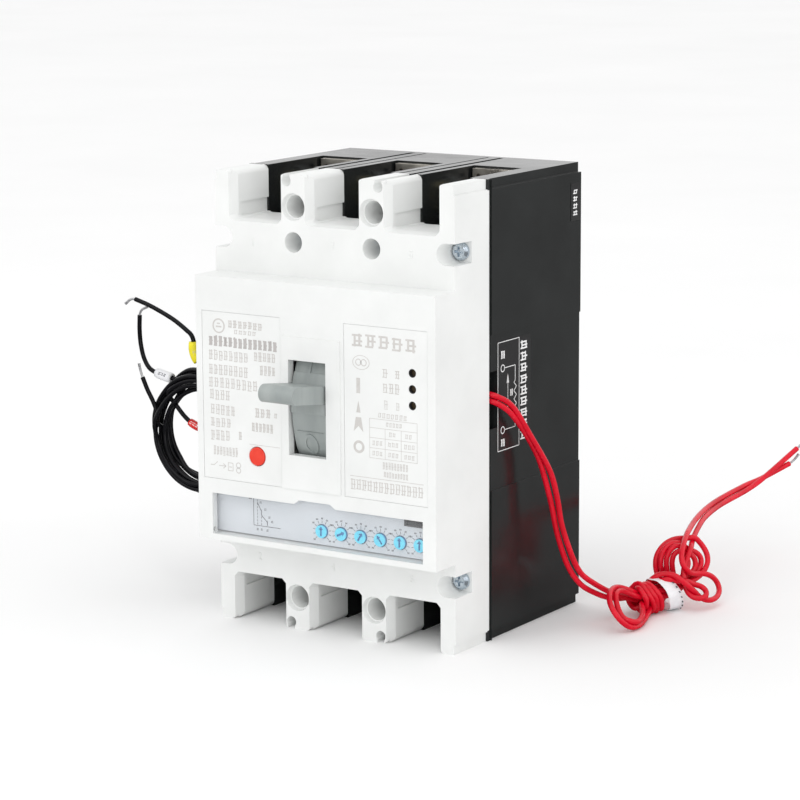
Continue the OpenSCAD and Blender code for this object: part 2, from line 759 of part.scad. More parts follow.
// Angle of the lower link above the back direction, and its far end
lower_end = [toggle_p[0] - link_l * cos(lower_a), toggle_p[1] + link_l * sin(lower_a)];

module lower_links() {
    eye_r = 1.9;
    color([0.66, 0.66, 0.64]) placed() both_sides() slab_x(4.5, 5.7) difference() {
        link_shape([-toggle_p[0], toggle_p[1]], [-lower_end[0], lower_end[1]], 3);
        translate([-toggle_p[0], toggle_p[1]]) circle(pin_r);
        translate([-lower_end[0], lower_end[1]]) circle(eye_r);
    }
}

module toggle_pin() {
    color([0.85, 0.85, 0.86]) placed() bar_x(toggle_p, pin_r, -7.2, 7.2);
}

// Springs from the yoke's bar to the toggle pin, as they lie in the tripped position
module main_springs() {
    hook = [-handle_p[0] - (hook_r - 1.2) * cos(handle_a), handle_p[1] + (hook_r - 1.2) * sin(handle_a)];
    pin = [-toggle_p[0] - pin_r - 0.3, toggle_p[1]];
    length = norm(hook - pin);
    tilt = atan2(hook[1] - pin[1], -hook[0] + pin[0]);
    color([0.75, 0.76, 0.78]) placed() for (x = [-2.9, 2.9])
        translate([x, pin[0], pin[1]]) rotate([90 - tilt, 0, 0]) spring_coil(1.1, 0.3, 11, length, 8);
}

module opened() {
    turned(crossbar_p, contact_open) children();
}

module crossbar() {
    color([0.3, 0.12, 0.1]) placed() opened() {
        bar_x(crossbar_p, crossbar_r, -42, 42);
        for (x = poles) block([x - 5.6, crossbar_p[0] - 6, crossbar_p[1] - 2],
            [x + 5.6, crossbar_p[0] + 6, crossbar_p[1] + (x == 0 ? 9 : 18)]);
        // Ear of the middle pole, driven by the lower links
        slab_x(-4, 4) union() {
            translate([-crossbar_p[0] - 4, crossbar_p[1] + 5]) square([10, 15]);
        }
        bar_x([crossbar_p[0] + drive_p[0], crossbar_p[1] + drive_p[1]], 1, -5.8, 5.8);
    }
}

arm_d = crossbar_p[0] - 6;

module contact_arms() {
    color([0.78, 0.45, 0.28]) placed() opened() for (x = poles)
        block([x - arm_w / 2, arm_d, arm_bottom], [x + arm_w / 2, arm_d - arm_t, arm_top]);
}

module moving_contact_tips() {
    color([0.85, 0.85, 0.84]) placed() opened() for (x = poles)
        block([x - 3, arm_d - arm_t, arm_top - 7], [x + 3, arm_d - arm_t - tip_t, arm_top - 1]);
}

// ---------- current path ----------

module fixed_contact_tips() {
    face = arm_d - arm_t - tip_t - gap;
    color([0.85, 0.85, 0.84]) placed() for (x = poles)
        block([x - 3.5, face, arm_top - 8], [x + 3.5, line_back + plate_t, arm_top]);
}

// Terminal plate at one end, with its screw hole, drawn at the load end
module terminal_plate(x) {
    difference() {
        block([x - plate_w / 2, shelf_d, 0.7], [x + plate_w / 2, shelf_d + plate_t, bay_z0 + 2.5]);
        bar_y(x, mount_z0, 3.1, shelf_d - 1, shelf_d + plate_t + 1);
        // Locating hole
        bar_y(x - 6, 3.2, 0.8, shelf_d - 1, shelf_d + plate_t + 1);
    }
}

module line_conductors() {
    bend_z = top - bay_z0 - 2.5;
    color([0.86, 0.82, 0.72]) placed() for (x = poles) {
        translate([0, 0, top]) mirror([0, 0, 1]) terminal_plate(x);
        block([x - plate_w / 2, line_back, bend_z], [x + plate_w / 2, shelf_d, bend_z + plate_t]);
        block([x - plate_w / 2, line_back, 97], [x + plate_w / 2, line_back + plate_t, bend_z]);
    }
}

module load_conductors() {
    color([0.86, 0.82, 0.72]) placed() for (x = poles) {
        terminal_plate(x);
        block([x - plate_w / 2, load_back, bay_z0], [x + plate_w / 2, shelf_d, bay_z0 + plate_t]);
        block([x - plate_w / 2, load_back, bay_z0 + plate_t],
            [x + plate_w / 2, load_back + plate_t, 50]);
    }
}

module flexible_braids() {
    strand = 1.3;
    color([0.75, 0.4, 0.22]) placed() for (x = poles) for (k = [-2:2])
        tube([[x + k * 2.2, -(load_back + 1.2), 50.1], [x + k * 2.2, -(load_back + 1.2), 51],
            [x + k * 2, -(load_back + 2.4), 53.5],
            [x + k * 1.6, -17.6, 56], [x + k * 1.3, -18, 59]], strand / 2, 2, 6);
}

module arc_chute_plates() {
    count = 8;
    pitch = 4.6;
    color([0.6, 0.62, 0.64]) placed() for (x = poles) for (i = [0:count - 1])
        slab_y(19 + i * pitch, 20 + i * pitch) difference() {
            translate([x - 11.2, 101]) square([22.4, 20]);
            polygon([[x - 6, 100], [x + 6, 100], [x + 6, 108], [x, 114], [x - 6, 108]]);
        }
}

module arc_chute_sides() {
    color([0.72, 0.5, 0.35]) placed() for (x = poles) for (s = [-1, 1])
        block([x + s * 11.2, 18, 107], [x + s * 12.4, 54.5, 122]);
}

// ---------- fasteners ----------

module terminal_nuts() {
    color([0.72, 0.74, 0.76]) placed() for (x = poles) both_ends() difference() {
        block([x - 5.4, 20.5, 5.5], [x + 5.4, shelf_d, 15.5]);
        bar_y(x, mount_z0, 3.05, 19, shelf_d + 1);
    }
}

// Cross recess in a screw head, cut at a depth
module cross_cut(x, z, size, d0, d1) {
    block([x - size / 2, d0, z - size / 8], [x + size / 2, d1, z + size / 8]);
    block([x - size / 8, d0, z - size / 2], [x + size / 8, d1, z + size / 2]);
}

module screw(x, z, r, head_r, tip_d, seat_d, head_h) {
    difference() {
        union() {
            bar_y(x, z, r, tip_d, seat_d);
            bar_y(x, z, head_r, seat_d, seat_d + head_h * 0.55);
            translate([x, -(seat_d + head_h * 0.55), z]) rotate([90, 0, 0])
                cylinder(r1 = head_r, r2 = head_r * 0.72, h = head_h * 0.45);
        }
        cross_cut(x, z, head_r * 1.1, seat_d + head_h * 0.4, seat_d + head_h + 1);
    }
}

module terminal_screws() {
    color([0.75, 0.8, 0.84]) placed() for (x = poles) both_ends()
        screw(x, mount_z0, 3, 5.4, 13, shelf_d + plate_t + 2.2, 4.2);
}

module terminal_washers() {
    color([0.72, 0.76, 0.8]) placed() for (x = poles) both_ends() difference() {
        bar_y(x, mount_z0, 6.8, shelf_d + plate_t, shelf_d + plate_t + 2.2);
        bar_y(x, mount_z0, 3.1, shelf_d, shelf_d + plate_t + 3);
    }
}

module corner_screws() {
    color([0.75, 0.8, 0.84]) placed() for (x = [-corner_x, corner_x]) for (z = corner_z)
        screw(x, z, cover_screw_r, 2.9, base_d - 18, pocket_d, 1.9);
}

module centre_screws() {
    color([0.75, 0.8, 0.84]) placed() for (x = phase_walls)
        screw(x, centre_z, cover_screw_r, 2.9, base_d - 18, centre_seat_d, 1.9);
}

// ---------- accessories ----------

module shunt_coil() {
    color([0.16, 0.16, 0.17]) placed() difference() {
        union() {
            block([19, 60, 56], [36, 74, 92]);
            block([21, 58.4, 58], [34, 60, 90]);
        }
        bar_y(shunt[0], shunt[1], 1.56, 57, 70);
    }
}

module shunt_plunger() {
    color([0.8, 0.82, 0.84]) placed() bar_y(shunt[0], shunt[1], 1.5, finger_front + plunger_gap, 67);
}

module label_at(l) {
    block([l[0] + gap, face_d - label_depth, l[1] + gap],
        [l[0] + l[2] - gap, face_d - label_depth + label_t, l[1] + l[3] - gap]);
}

module rating_plate() {
    color([0.93, 0.94, 0.93]) placed() difference() {
        label_at(label_l);
        bar_y(button_x, button_z, button_d / 2 + 0.3, face_d - 2, face_d + 1);
    }
}

module symbol_plate() {
    color([0.93, 0.94, 0.93]) placed() difference() {
        label_at(label_r);
        for (z = led_z) bar_y(led_x, z, led_hole_r, face_d - 2, face_d + 1);
    }
}

module side_labels() {
    sticker_t = 0.15;
    color([0.06, 0.06, 0.06]) placed() {
        block([half_w + middle_proud, 32.4, 61.2], [half_w + middle_proud + sticker_t, 53, 97.4]);
        block([half_w + base_proud, 1, 131], [half_w + base_proud + sticker_t, 7, 143.5]);
    }
}

// ---------- leads ----------

module red_lead_1() {
    color([0.9, 0.12, 0.2]) {
        tube(red_exit_1, red_d / 2);
        tube(red_tail_1, red_d / 2);
    }
}

module red_lead_2() {
    color([0.9, 0.12, 0.2]) {
        tube(red_exit_2, red_d / 2);
        tube(red_tail_2, red_d / 2);
    }
}

module hank_outline(grow) {
    difference() {
        link_shape(hank_a, hank_b, hank_r + grow);
        link_shape(hank_a, hank_b, hank_r - 8 - grow);
    }
}

module red_hank() {
    color([0.9, 0.12, 0.2]) linear_extrude(hank_h) hank_outline(0);
}

module hank_tie() {
    middle = (hank_a + hank_b) / 2;
    turn = atan2(hank_b[1] - hank_a[1], hank_b[0] - hank_a[0]);
    color([0.97, 0.97, 0.97]) translate(middle) rotate(turn) difference() {
        translate([-2.5, -hank_r - 0.8, 0]) cube([5, 2 * hank_r + 1.6, hank_h + 0.8]);
        translate([-5, -hank_r, -1]) cube([10, 2 * hank_r, hank_h + 1]);
    }
}

module black_leads() {
    color([0.07, 0.07, 0.07]) {
        for (p = black_exit) tube(p, black_d / 2, 1);
        for (p = black_tail) tube(p, black_d / 2, 1);
    }
}

module black_coil() {
    color([0.07, 0.07, 0.07]) translate(coil_c) rotate([90, 0, 0])
        rotate_extrude($fn = 48) translate([coil_r, 0]) circle(coil_t, $fn = 16);
}

module marker_tubes() {
    length = 5;
    color([0.93, 0.85, 0.15]) translate([-76, 4, 81]) cylinder(r = 1.9, h = length);
}

// Stripped ends of the leads
module bare_lead_ends() {
    tails = concat([red_tail_1, red_tail_2], black_tail);
    color([0.8, 0.8, 0.82]) for (p = tails) {
        n = len(p);
        out = unit(p[n - 1] - p[n - 2]);
        tube([p[n - 1], p[n - 1] + strip_l / 2 * out, p[n - 1] + strip_l * out], 0.35, 1, 6);
    }
}

base_housing();
front_cover();
window_cover();
dial_plate();
dial_1();
dial_2();
dial_3();
dial_4();
dial_5();
dial_6();
rotary_switch_bodies();
trip_unit_board();
trip_unit_housing();
test_port();
status_leds();
trip_button();
trip_button_spring();
trip_bar();
flux_actuator();
flux_plunger();
current_transformers();
handle();
handle_yoke();
mechanism_frame();
mechanism_pins();
cradle();
upper_links();
lower_links();
toggle_pin();
main_springs();
crossbar();
contact_arms();
moving_contact_tips();
fixed_contact_tips();
line_conductors();
load_conductors();
flexible_braids();
arc_chute_plates();
arc_chute_sides();
terminal_nuts();
terminal_screws();
terminal_washers();
corner_screws();
centre_screws();
shunt_coil();
shunt_plunger();
rating_plate();
symbol_plate();
side_labels();
red_lead_1();
red_lead_2();
red_hank();
hank_tie();
black_leads();
black_coil();
marker_tubes();
bare_lead_ends();
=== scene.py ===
"""Looks of the molded case circuit breaker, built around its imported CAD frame."""

import math
import random

import bmesh
import bpy
import numpy as np
from mathutils import Matrix, Vector


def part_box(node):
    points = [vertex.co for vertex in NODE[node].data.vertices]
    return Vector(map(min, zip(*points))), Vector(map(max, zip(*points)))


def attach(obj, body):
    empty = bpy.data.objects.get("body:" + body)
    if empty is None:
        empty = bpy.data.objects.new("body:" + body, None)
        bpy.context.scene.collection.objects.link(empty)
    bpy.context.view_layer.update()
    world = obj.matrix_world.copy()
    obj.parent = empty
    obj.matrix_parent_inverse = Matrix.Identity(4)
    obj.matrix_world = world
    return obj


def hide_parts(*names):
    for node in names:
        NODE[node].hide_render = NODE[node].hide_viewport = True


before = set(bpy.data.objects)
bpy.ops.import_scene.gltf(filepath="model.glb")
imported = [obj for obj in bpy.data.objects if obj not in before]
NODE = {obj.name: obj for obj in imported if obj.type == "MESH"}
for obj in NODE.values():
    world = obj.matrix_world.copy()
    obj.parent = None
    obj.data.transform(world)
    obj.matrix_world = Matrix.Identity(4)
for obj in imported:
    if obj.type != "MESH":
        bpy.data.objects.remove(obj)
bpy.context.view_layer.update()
MM = 0.001

# ---------- camera and lights ----------

EYE = Vector((0.5213, -0.7907, 0.2545))
TARGET = Vector((0.00376, 0.009, 0.07306))
ROLL = math.radians(-0.31)
LENS = 132.1


def looking(eye, target, roll=0.0):
    """Matrix of a camera or light that looks from eye to target."""
    forward = (target - eye).normalized()
    right = forward.cross(Vector((0, 0, 1))).normalized()
    up = right.cross(forward)
    x = math.cos(roll) * right + math.sin(roll) * up
    y = -math.sin(roll) * right + math.cos(roll) * up
    m = Matrix((x, y, -forward)).transposed().to_4x4()
    m.translation = eye
    return m


def add_camera():
    data = bpy.data.cameras.new("camera")
    data.sensor_width = 36
    data.lens = LENS
    data.clip_start = 0.01
    obj = bpy.data.objects.new("camera", data)
    obj.matrix_world = looking(EYE, TARGET, ROLL)
    bpy.context.scene.collection.objects.link(obj)
    bpy.context.scene.camera = obj


def add_light(name, eye, target, size, power, colour=(1, 1, 1)):
    data = bpy.data.lights.new(name, "AREA")
    data.shape = "RECTANGLE"
    data.size, data.size_y = size
    data.energy = power
    data.color = colour
    obj = bpy.data.objects.new(name, data)
    obj.matrix_world = looking(Vector(eye), Vector(target))
    bpy.context.scene.collection.objects.link(obj)


def add_world(strength):
    world = bpy.data.worlds.new("studio")
    bpy.context.scene.world = world
    world.use_nodes = True
    background = world.node_tree.nodes["Background"]
    background.inputs["Color"].default_value = (1, 1, 1, 1)
    background.inputs["Strength"].default_value = strength


def add_object(name, data, body=None):
    """Links a new object and lets it ride on a body."""
    obj = bpy.data.objects.new(name, data)
    bpy.context.scene.collection.objects.link(obj)
    if body:
        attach(obj, body)
    return obj


# ---------- materials ----------


def new_material(name):
    m = bpy.data.materials.new(name)
    m.use_nodes = True
    tree = m.node_tree
    return m, tree, tree.nodes["Principled BSDF"]


def noise(tree, scale, detail=3.0, rough=0.55, stretch=None):
    """Noise in the object's own metres; stretch scales it along each axis."""
    coord = tree.nodes.new("ShaderNodeTexCoord")
    out = coord.outputs["Object"]
    if stretch:
        mapping = tree.nodes.new("ShaderNodeMapping")
        mapping.inputs["Scale"].default_value = stretch
        tree.links.new(out, mapping.inputs["Vector"])
        out = mapping.outputs["Vector"]
    node = tree.nodes.new("ShaderNodeTexNoise")
    node.inputs["Scale"].default_value = scale
    node.inputs["Detail"].default_value = detail
    node.inputs["Roughness"].default_value = rough
    tree.links.new(out, node.inputs["Vector"])
    return node.outputs["Fac"]


def ramp(tree, source, low, high, start=0.3, end=0.7):
    """Maps what runs from start to end onto low to high."""
    node = tree.nodes.new("ShaderNodeMapRange")
    node.inputs["From Min"].default_value = start
    node.inputs["From Max"].default_value = end
    node.inputs["To Min"].default_value = low
    node.inputs["To Max"].default_value = high
    tree.links.new(source, node.inputs["Value"])
    return node.outputs["Result"]


def mix_colours(tree, factor, a, b):
    """Mixes a and b, each a colour or a socket."""
    node = tree.nodes.new("ShaderNodeMix")
    node.data_type = "RGBA"
    tree.links.new(factor, node.inputs["Factor"])
    for name, value in (("A", a), ("B", b)):
        if isinstance(value, tuple):
            node.inputs[name].default_value = (*value, 1)
        else:
            tree.links.new(value, node.inputs[name])
    return node.outputs["Result"]


def deeper_than(tree, level):
    """1 where the surface lies further back than y = level, in metres, and 0 elsewhere."""
    coord = tree.nodes.new("ShaderNodeTexCoord")
    split = tree.nodes.new("ShaderNodeSeparateXYZ")
    tree.links.new(coord.outputs["Object"], split.inputs["Vector"])
    return ramp(tree, split.outputs["Y"], 0, 1, level, level + 0.0001)


def surface(name, dark, light, rough=(0.4, 0.5), metallic=0.0, grain=(3000, 0.05), tone=60,
            specular=0.5, coat=0.0, stretch=None, alpha=1.0, recess_shade=None):
    """Material with a slow change of tone and gloss and a fine relief.

    The last argument is (level, colour): painted shade, a darker colour for all that lies further
    back than that level.
    """
    m, tree, shader = new_material(name)
    shader.inputs["Metallic"].default_value = metallic
    shader.inputs["Specular IOR Level"].default_value = specular
    shader.inputs["Coat Weight"].default_value = coat
    shader.inputs["Coat Roughness"].default_value = 0.08
    shader.inputs["Alpha"].default_value = alpha
    slow = noise(tree, tone, 4, 0.6, stretch)
    colour = mix_colours(tree, ramp(tree, slow, 0, 1), dark, light)
    # Painted shade: what lies further back than the level takes the darker colour
    if recess_shade:
        colour = mix_colours(tree, deeper_than(tree, recess_shade[0]), colour, recess_shade[1])
    tree.links.new(colour, shader.inputs["Base Color"])
    tree.links.new(ramp(tree, slow, rough[0], rough[1]), shader.inputs["Roughness"])
    bump = tree.nodes.new("ShaderNodeBump")
    bump.inputs["Strength"].default_value = grain[1]
    bump.inputs["Distance"].default_value = 0.0003
    tree.links.new(noise(tree, grain[0], 2, 0.5, stretch), bump.inputs["Height"])
    tree.links.new(bump.outputs["Normal"], shader.inputs["Normal"])
    return m


WHITE = surface("cover_plastic", (0.80, 0.81, 0.80), (0.86, 0.87, 0.86), (0.34, 0.46), tone=40)
BLACK = surface("base_plastic", (0.012, 0.013, 0.013), (0.020, 0.022, 0.022), (0.13, 0.24),
                grain=(900, 0.05), tone=35, specular=0.35)
LABEL = surface("label_film", (0.81, 0.82, 0.81), (0.86, 0.87, 0.86), (0.28, 0.36), tone=60)
LABEL_BLACK = surface("label_film_black", (0.010, 0.010, 0.011), (0.018, 0.018, 0.018),
                      (0.2, 0.3), tone=80)
INK = surface("ink_taupe", (0.57, 0.55, 0.53), (0.65, 0.63, 0.61), (0.45, 0.55), tone=500)
INK_BOLD = surface("ink_grey", (0.45, 0.43, 0.42), (0.53, 0.50, 0.49), (0.45, 0.55), tone=500)
INK_WHITE = surface("ink_white", (0.80, 0.80, 0.80), (0.92, 0.92, 0.92), (0.4, 0.5), tone=500)
INK_PANEL = surface("ink_slate", (0.04, 0.04, 0.05), (0.10, 0.10, 0.12), (0.4, 0.5), tone=500)
PANEL = surface("panel_print", (0.62, 0.66, 0.70), (0.72, 0.75, 0.79), (0.3, 0.42), tone=45)
# The dials' deeper parts carry painted shade, a darker blue
DIAL = surface("dial_plastic", (0.08, 0.68, 0.95), (0.14, 0.80, 1.0), (0.25, 0.35), tone=300,
               recess_shade=(-0.0325, (0.0, 0.24, 0.58)))
HANDLE = surface("handle_plastic", (0.29, 0.32, 0.315), (0.38, 0.41, 0.40), (0.38, 0.5),
                 grain=(700, 0.25), tone=160, stretch=(1, 1, 0.12))
BUTTON = surface("button_plastic", (0.80, 0.035, 0.018), (0.88, 0.06, 0.03), (0.28, 0.38),
                 tone=250)
CLEAR = surface("window_plastic", (0.90, 0.93, 0.96), (0.96, 0.98, 1.0), (0.04, 0.1),
                grain=(200, 0.02), tone=50, alpha=0.08)
SWITCH = surface("switch_plastic", (0.02, 0.02, 0.022), (0.035, 0.035, 0.038), (0.45, 0.6),
                 tone=200)
PORT = surface("port_plastic", (0.012, 0.010, 0.010), (0.03, 0.026, 0.025), (0.4, 0.55), tone=200)
BOARD = surface("solder_mask", (0.012, 0.11, 0.045), (0.02, 0.17, 0.07), (0.25, 0.4), tone=220)
GUIDE = surface("light_guide", (0.05, 0.035, 0.02), (0.10, 0.075, 0.045), (0.15, 0.3), tone=500)
ZINC = surface("zinc_plate", (0.50, 0.58, 0.66), (0.72, 0.78, 0.83), (0.2, 0.34), 1.0,
               grain=(1500, 0.08), tone=260)
YELLOW_ZINC = surface("yellow_zinc", (0.50, 0.44, 0.26), (0.66, 0.60, 0.38), (0.3, 0.42), 1.0,
                      tone=260)
STEEL = surface("bare_steel", (0.42, 0.42, 0.42), (0.56, 0.56, 0.56), (0.28, 0.42), 1.0,
                grain=(1200, 0.1), tone=160)
TINNED = surface("tin_plate", (0.60, 0.56, 0.50), (0.74, 0.70, 0.63), (0.26, 0.42), 1.0,
                 grain=(900, 0.1), tone=120)
COPPER = surface("bare_copper", (0.62, 0.28, 0.15), (0.80, 0.42, 0.24), (0.28, 0.42), 1.0,
                 grain=(1400, 0.15), tone=200)
SILVER = surface("silver_alloy", (0.66, 0.65, 0.62), (0.80, 0.79, 0.76), (0.25, 0.4), 1.0,
                 tone=300)
FIBRE = surface("fibre", (0.30, 0.15, 0.08), (0.44, 0.24, 0.13), (0.5, 0.65), tone=90,
                stretch=(1, 1, 0.3))
CARRIER = surface("carrier_plastic", (0.06, 0.022, 0.016), (0.10, 0.036, 0.026), (0.35, 0.5),
                  tone=80)
TAN = surface("trip_bar_plastic", (0.42, 0.29, 0.15), (0.54, 0.38, 0.21), (0.4, 0.5), tone=90)
COIL_TAPE = surface("coil_tape", (0.012, 0.035, 0.15), (0.025, 0.06, 0.24), (0.3, 0.45),
                    tone=60, stretch=(1, 6, 1))
RED_SKIN = surface("red_pvc", (0.60, 0.001, 0.014), (0.78, 0.004, 0.026), (0.2, 0.3),
                   grain=(1500, 0.05), tone=120, specular=0.3, coat=0.08)
BLACK_SKIN = surface("black_pvc", (0.002, 0.002, 0.003), (0.006, 0.006, 0.008), (0.1, 0.16),
                     grain=(1500, 0.05), tone=120, specular=0.18)
STRANDS = surface("tinned_strands", (0.5, 0.5, 0.52), (0.75, 0.75, 0.76), (0.2, 0.4), 1.0,
                  grain=(4000, 0.2), tone=600)
TAPE = surface("cloth_tape", (0.78, 0.79, 0.82), (0.90, 0.90, 0.92), (0.45, 0.6),
               grain=(1800, 0.3), tone=260)
YELLOW = surface("marker_yellow", (0.80, 0.68, 0.008), (0.90, 0.79, 0.015), (0.3, 0.42), tone=300)
MARKER_WHITE = surface("marker_white", (0.74, 0.75, 0.78), (0.86, 0.86, 0.88), (0.3, 0.42),
                       tone=300)
MARKER_RED = surface("marker_red", (0.66, 0.02, 0.02), (0.80, 0.04, 0.03), (0.3, 0.42), tone=300)

NODE_LOOKS = [
    (WHITE, ["front_cover"]),
    (BLACK, ["base_housing"]),
    (CLEAR, ["window_cover"]),
    (PANEL, ["dial_plate"]),
    (DIAL, [f"dial_{i}" for i in range(1, 7)]),
    (HANDLE, ["handle"]),
    (BUTTON, ["trip_button"]),
    (SWITCH, ["rotary_switch_bodies", "trip_unit_housing"]),
    (PORT, ["test_port"]),
    (BOARD, ["trip_unit_board"]),
    (GUIDE, ["status_leds"]),
    (ZINC, ["corner_screws", "centre_screws", "terminal_washers"]),
    (YELLOW_ZINC, ["terminal_screws", "terminal_nuts", "handle_yoke"]),
    (STEEL, ["mechanism_frame", "mechanism_pins", "cradle", "upper_links", "lower_links",
             "toggle_pin", "main_springs", "trip_button_spring", "flux_plunger",
             "shunt_plunger", "arc_chute_plates"]),
    (TINNED, ["line_conductors", "load_conductors"]),
    (COPPER, ["contact_arms", "flexible_braids"]),
    (SILVER, ["moving_contact_tips", "fixed_contact_tips"]),
    (FIBRE, ["arc_chute_sides"]),
    (CARRIER, ["crossbar"]),
    (TAN, ["trip_bar"]),
    (COIL_TAPE, ["current_transformers", "flux_actuator", "shunt_coil"]),
    (LABEL, ["rating_plate", "symbol_plate"]),
    (LABEL_BLACK, ["side_labels"]),
]

# Radius of the moulded or pressed edges, in mm
SOFT_EDGES = {"front_cover": 0.7, "base_housing": 0.35, "handle": 0.55, "trip_button": 0.3,
              "window_cover": 0.15, "dial_plate": 0.15, "crossbar": 0.5, "trip_bar": 0.25,
              "corner_screws": 0.2, "centre_screws": 0.2, "line_conductors": 0.25,
              "load_conductors": 0.25, "test_port": 0.12, "trip_unit_housing": 0.4,
              "current_transformers": 0.5, "shunt_coil": 0.4, "flux_actuator": 0.3,
              "terminal_screws": 0.2, "terminal_nuts": 0.2, "handle_yoke": 0.15}


def paint_nodes():
    for material, names in NODE_LOOKS:
        for name in names:
            slots = NODE[name].data.materials
            slots.clear()
            slots.append(material)


def soften(name, radius):
    """Rounds a CAD node's sharp edges with modifiers that leave its flat faces where they are."""
    obj = NODE[name]
    weld = obj.modifiers.new("weld", "WELD")
    weld.merge_threshold = 1e-6
    flat = obj.modifiers.new("merge_flat", "DECIMATE")
    flat.decimate_type = "DISSOLVE"
    flat.angle_limit = math.radians(0.5)
    bevel = obj.modifiers.new("round", "BEVEL")
    bevel.width = radius * MM
    bevel.segments = 3 if radius >= 0.3 else 2
    bevel.limit_method = "ANGLE"
    bevel.angle_limit = math.radians(32)
    bevel.use_clamp_overlap = True
    bevel.miter_outer = "MITER_ARC"
    bevel.harden_normals = True


# ---------- thin raised prints ----------

# How far a print stands proud of its face, and how deep its root is sunk, in mm
PRINT_H = 0.03
PRINT_ROOT = -0.03
# Upright strokes of a block stand a little higher, so that no two tops lie in one plane
CROSS_LIFT = 0.006


def front_face(y):
    """Places (u, v) as (x, z) on a face that looks towards -Y."""
    return lambda u, v, h: (u, y - h, v)


def side_face(x):
    """Places (u, v) as (y, z) on a face that looks towards +X."""
    return lambda u, v, h: (x + h, u, v)


def shutter_face(radius, centre_z):
    """Places (u, v) on the handle's curved shutter: u is x and v the height along the curve."""
    def place(u, v, h):
        a = v / radius
        return (u, -(radius + h) * math.cos(a), centre_z + (radius + h) * math.sin(a))
    return place


class Relief:
    """Collects flat strokes that stand a little proud of a face."""

    def __init__(self, place, height, seed=0):
        self.place = place
        self.height = height
        self.bm = bmesh.new()
        self.random = random.Random(seed)

    def prism(self, outline, lift=0.0):
        low = [self.bm.verts.new(self.place(u, v, PRINT_ROOT)) for u, v in outline]
        high = [self.bm.verts.new(self.place(u, v, self.height + lift)) for u, v in outline]
        n = len(outline)
        self.bm.faces.new(high)
        self.bm.faces.new(low[::-1])
        for i in range(n):
            j = (i + 1) % n
            self.bm.faces.new((low[i], low[j], high[j], high[i]))

    def rect(self, u0, u1, v0, v1, lift=0.0):
        self.prism([(u0, v0), (u1, v0), (u1, v1), (u0, v1)], lift)

    def line(self, a, b, width):
        du, dv = b[0] - a[0], b[1] - a[1]
        size = math.hypot(du, dv)
        nu, nv = -dv / size * width / 2, du / size * width / 2
        self.prism([(a[0] - nu, a[1] - nv), (b[0] - nu, b[1] - nv), (b[0] + nu, b[1] + nv),
                    (a[0] + nu, a[1] + nv)])

    def path(self, points, width):
        for a, b in zip(points, points[1:]):
            self.line(a, b, width)

    def frame(self, u0, u1, v0, v1, width):
        self.rect(u0, u1, v0, v0 + width)
        self.rect(u0, u1, v1 - width, v1)
        self.rect(u0, u0 + width, v0 + width, v1 - width)
        self.rect(u1 - width, u1, v0 + width, v1 - width)

    def ring(self, u, v, radius, width, tall=1.0, steps=32):
        rows = []
        for k in range(steps):
            a = 2 * math.pi * k / steps
            c, s = math.cos(a), math.sin(a) * tall
            ends = [(u + r * c, v + r * s) for r in (radius - width / 2, radius + width / 2)]
            rows.append([self.bm.verts.new(self.place(*e, h))
                         for e in ends for h in (PRINT_ROOT, self.height)])
        for k in range(steps):
            (a0, a1, b0, b1), (c0, c1, d0, d1) = rows[k], rows[(k + 1) % steps]
            for quad in ((a1, b1, d1, c1), (b0, a0, c0, d0), (a0, a1, c1, c0), (b1, b0, d0, d1)):
                self.bm.faces.new(quad)

    def block(self, u0, u1, v0, v1, weight):
        """A generic hatched block that stands for one printed character and reads as none."""
        r = self.random
        count = 3 if v1 - v0 > 2.4 else 2
        for k in range(count):
            v = v0 + (v1 - v0 - weight) * (k + r.uniform(-0.12, 0.12) + 0.15) / (count - 0.7)
            v = min(max(v, v0), v1 - weight)
            cut = r.uniform(0, 0.25) * (u1 - u0)
            self.rect(u0 + cut * (k % 2), u1 - cut * ((k + 1) % 2), v, v + weight * 0.8)
        for k in range(2):
            u = u0 + (u1 - u0 - weight) * (0.12 + 0.62 * k + r.uniform(0, 0.14))
            self.rect(u, u + weight, v0 + r.uniform(0, 0.2) * (v1 - v0),
                      v1 - r.uniform(0, 0.2) * (v1 - v0), CROSS_LIFT)

    def row(self, u0, u1, v0, v1, count, weight, space=0.22):
        """A row of blocks from u0 to u1, between the levels v0 and v1."""
        step = (u1 - u0) / count
        for k in range(count):
            a = u0 + step * (k + space / 2)
            self.block(a, a + step * (1 - space), v0, v1, weight)

    def finish(self, name, material, body="case", edge=0.0):
        for v in self.bm.verts:
            v.co *= MM
        bmesh.ops.recalc_face_normals(self.bm, faces=self.bm.faces)
        mesh = bpy.data.meshes.new(name)
        self.bm.to_mesh(mesh)
        self.bm.free()
        mesh.materials.append(material)
        obj = add_object(name, mesh, body)
        if edge:
            bevel = obj.modifiers.new("round", "BEVEL")
            bevel.width = edge * MM
            bevel.segments = 2
            bevel.limit_method = "ANGLE"
        return obj


def front_of(name):
    """A node's face towards -Y, in mm."""
    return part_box(name)[0].y / MM


def right_of(name):
    """A node's face towards +X, in mm."""
    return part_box(name)[1].x / MM


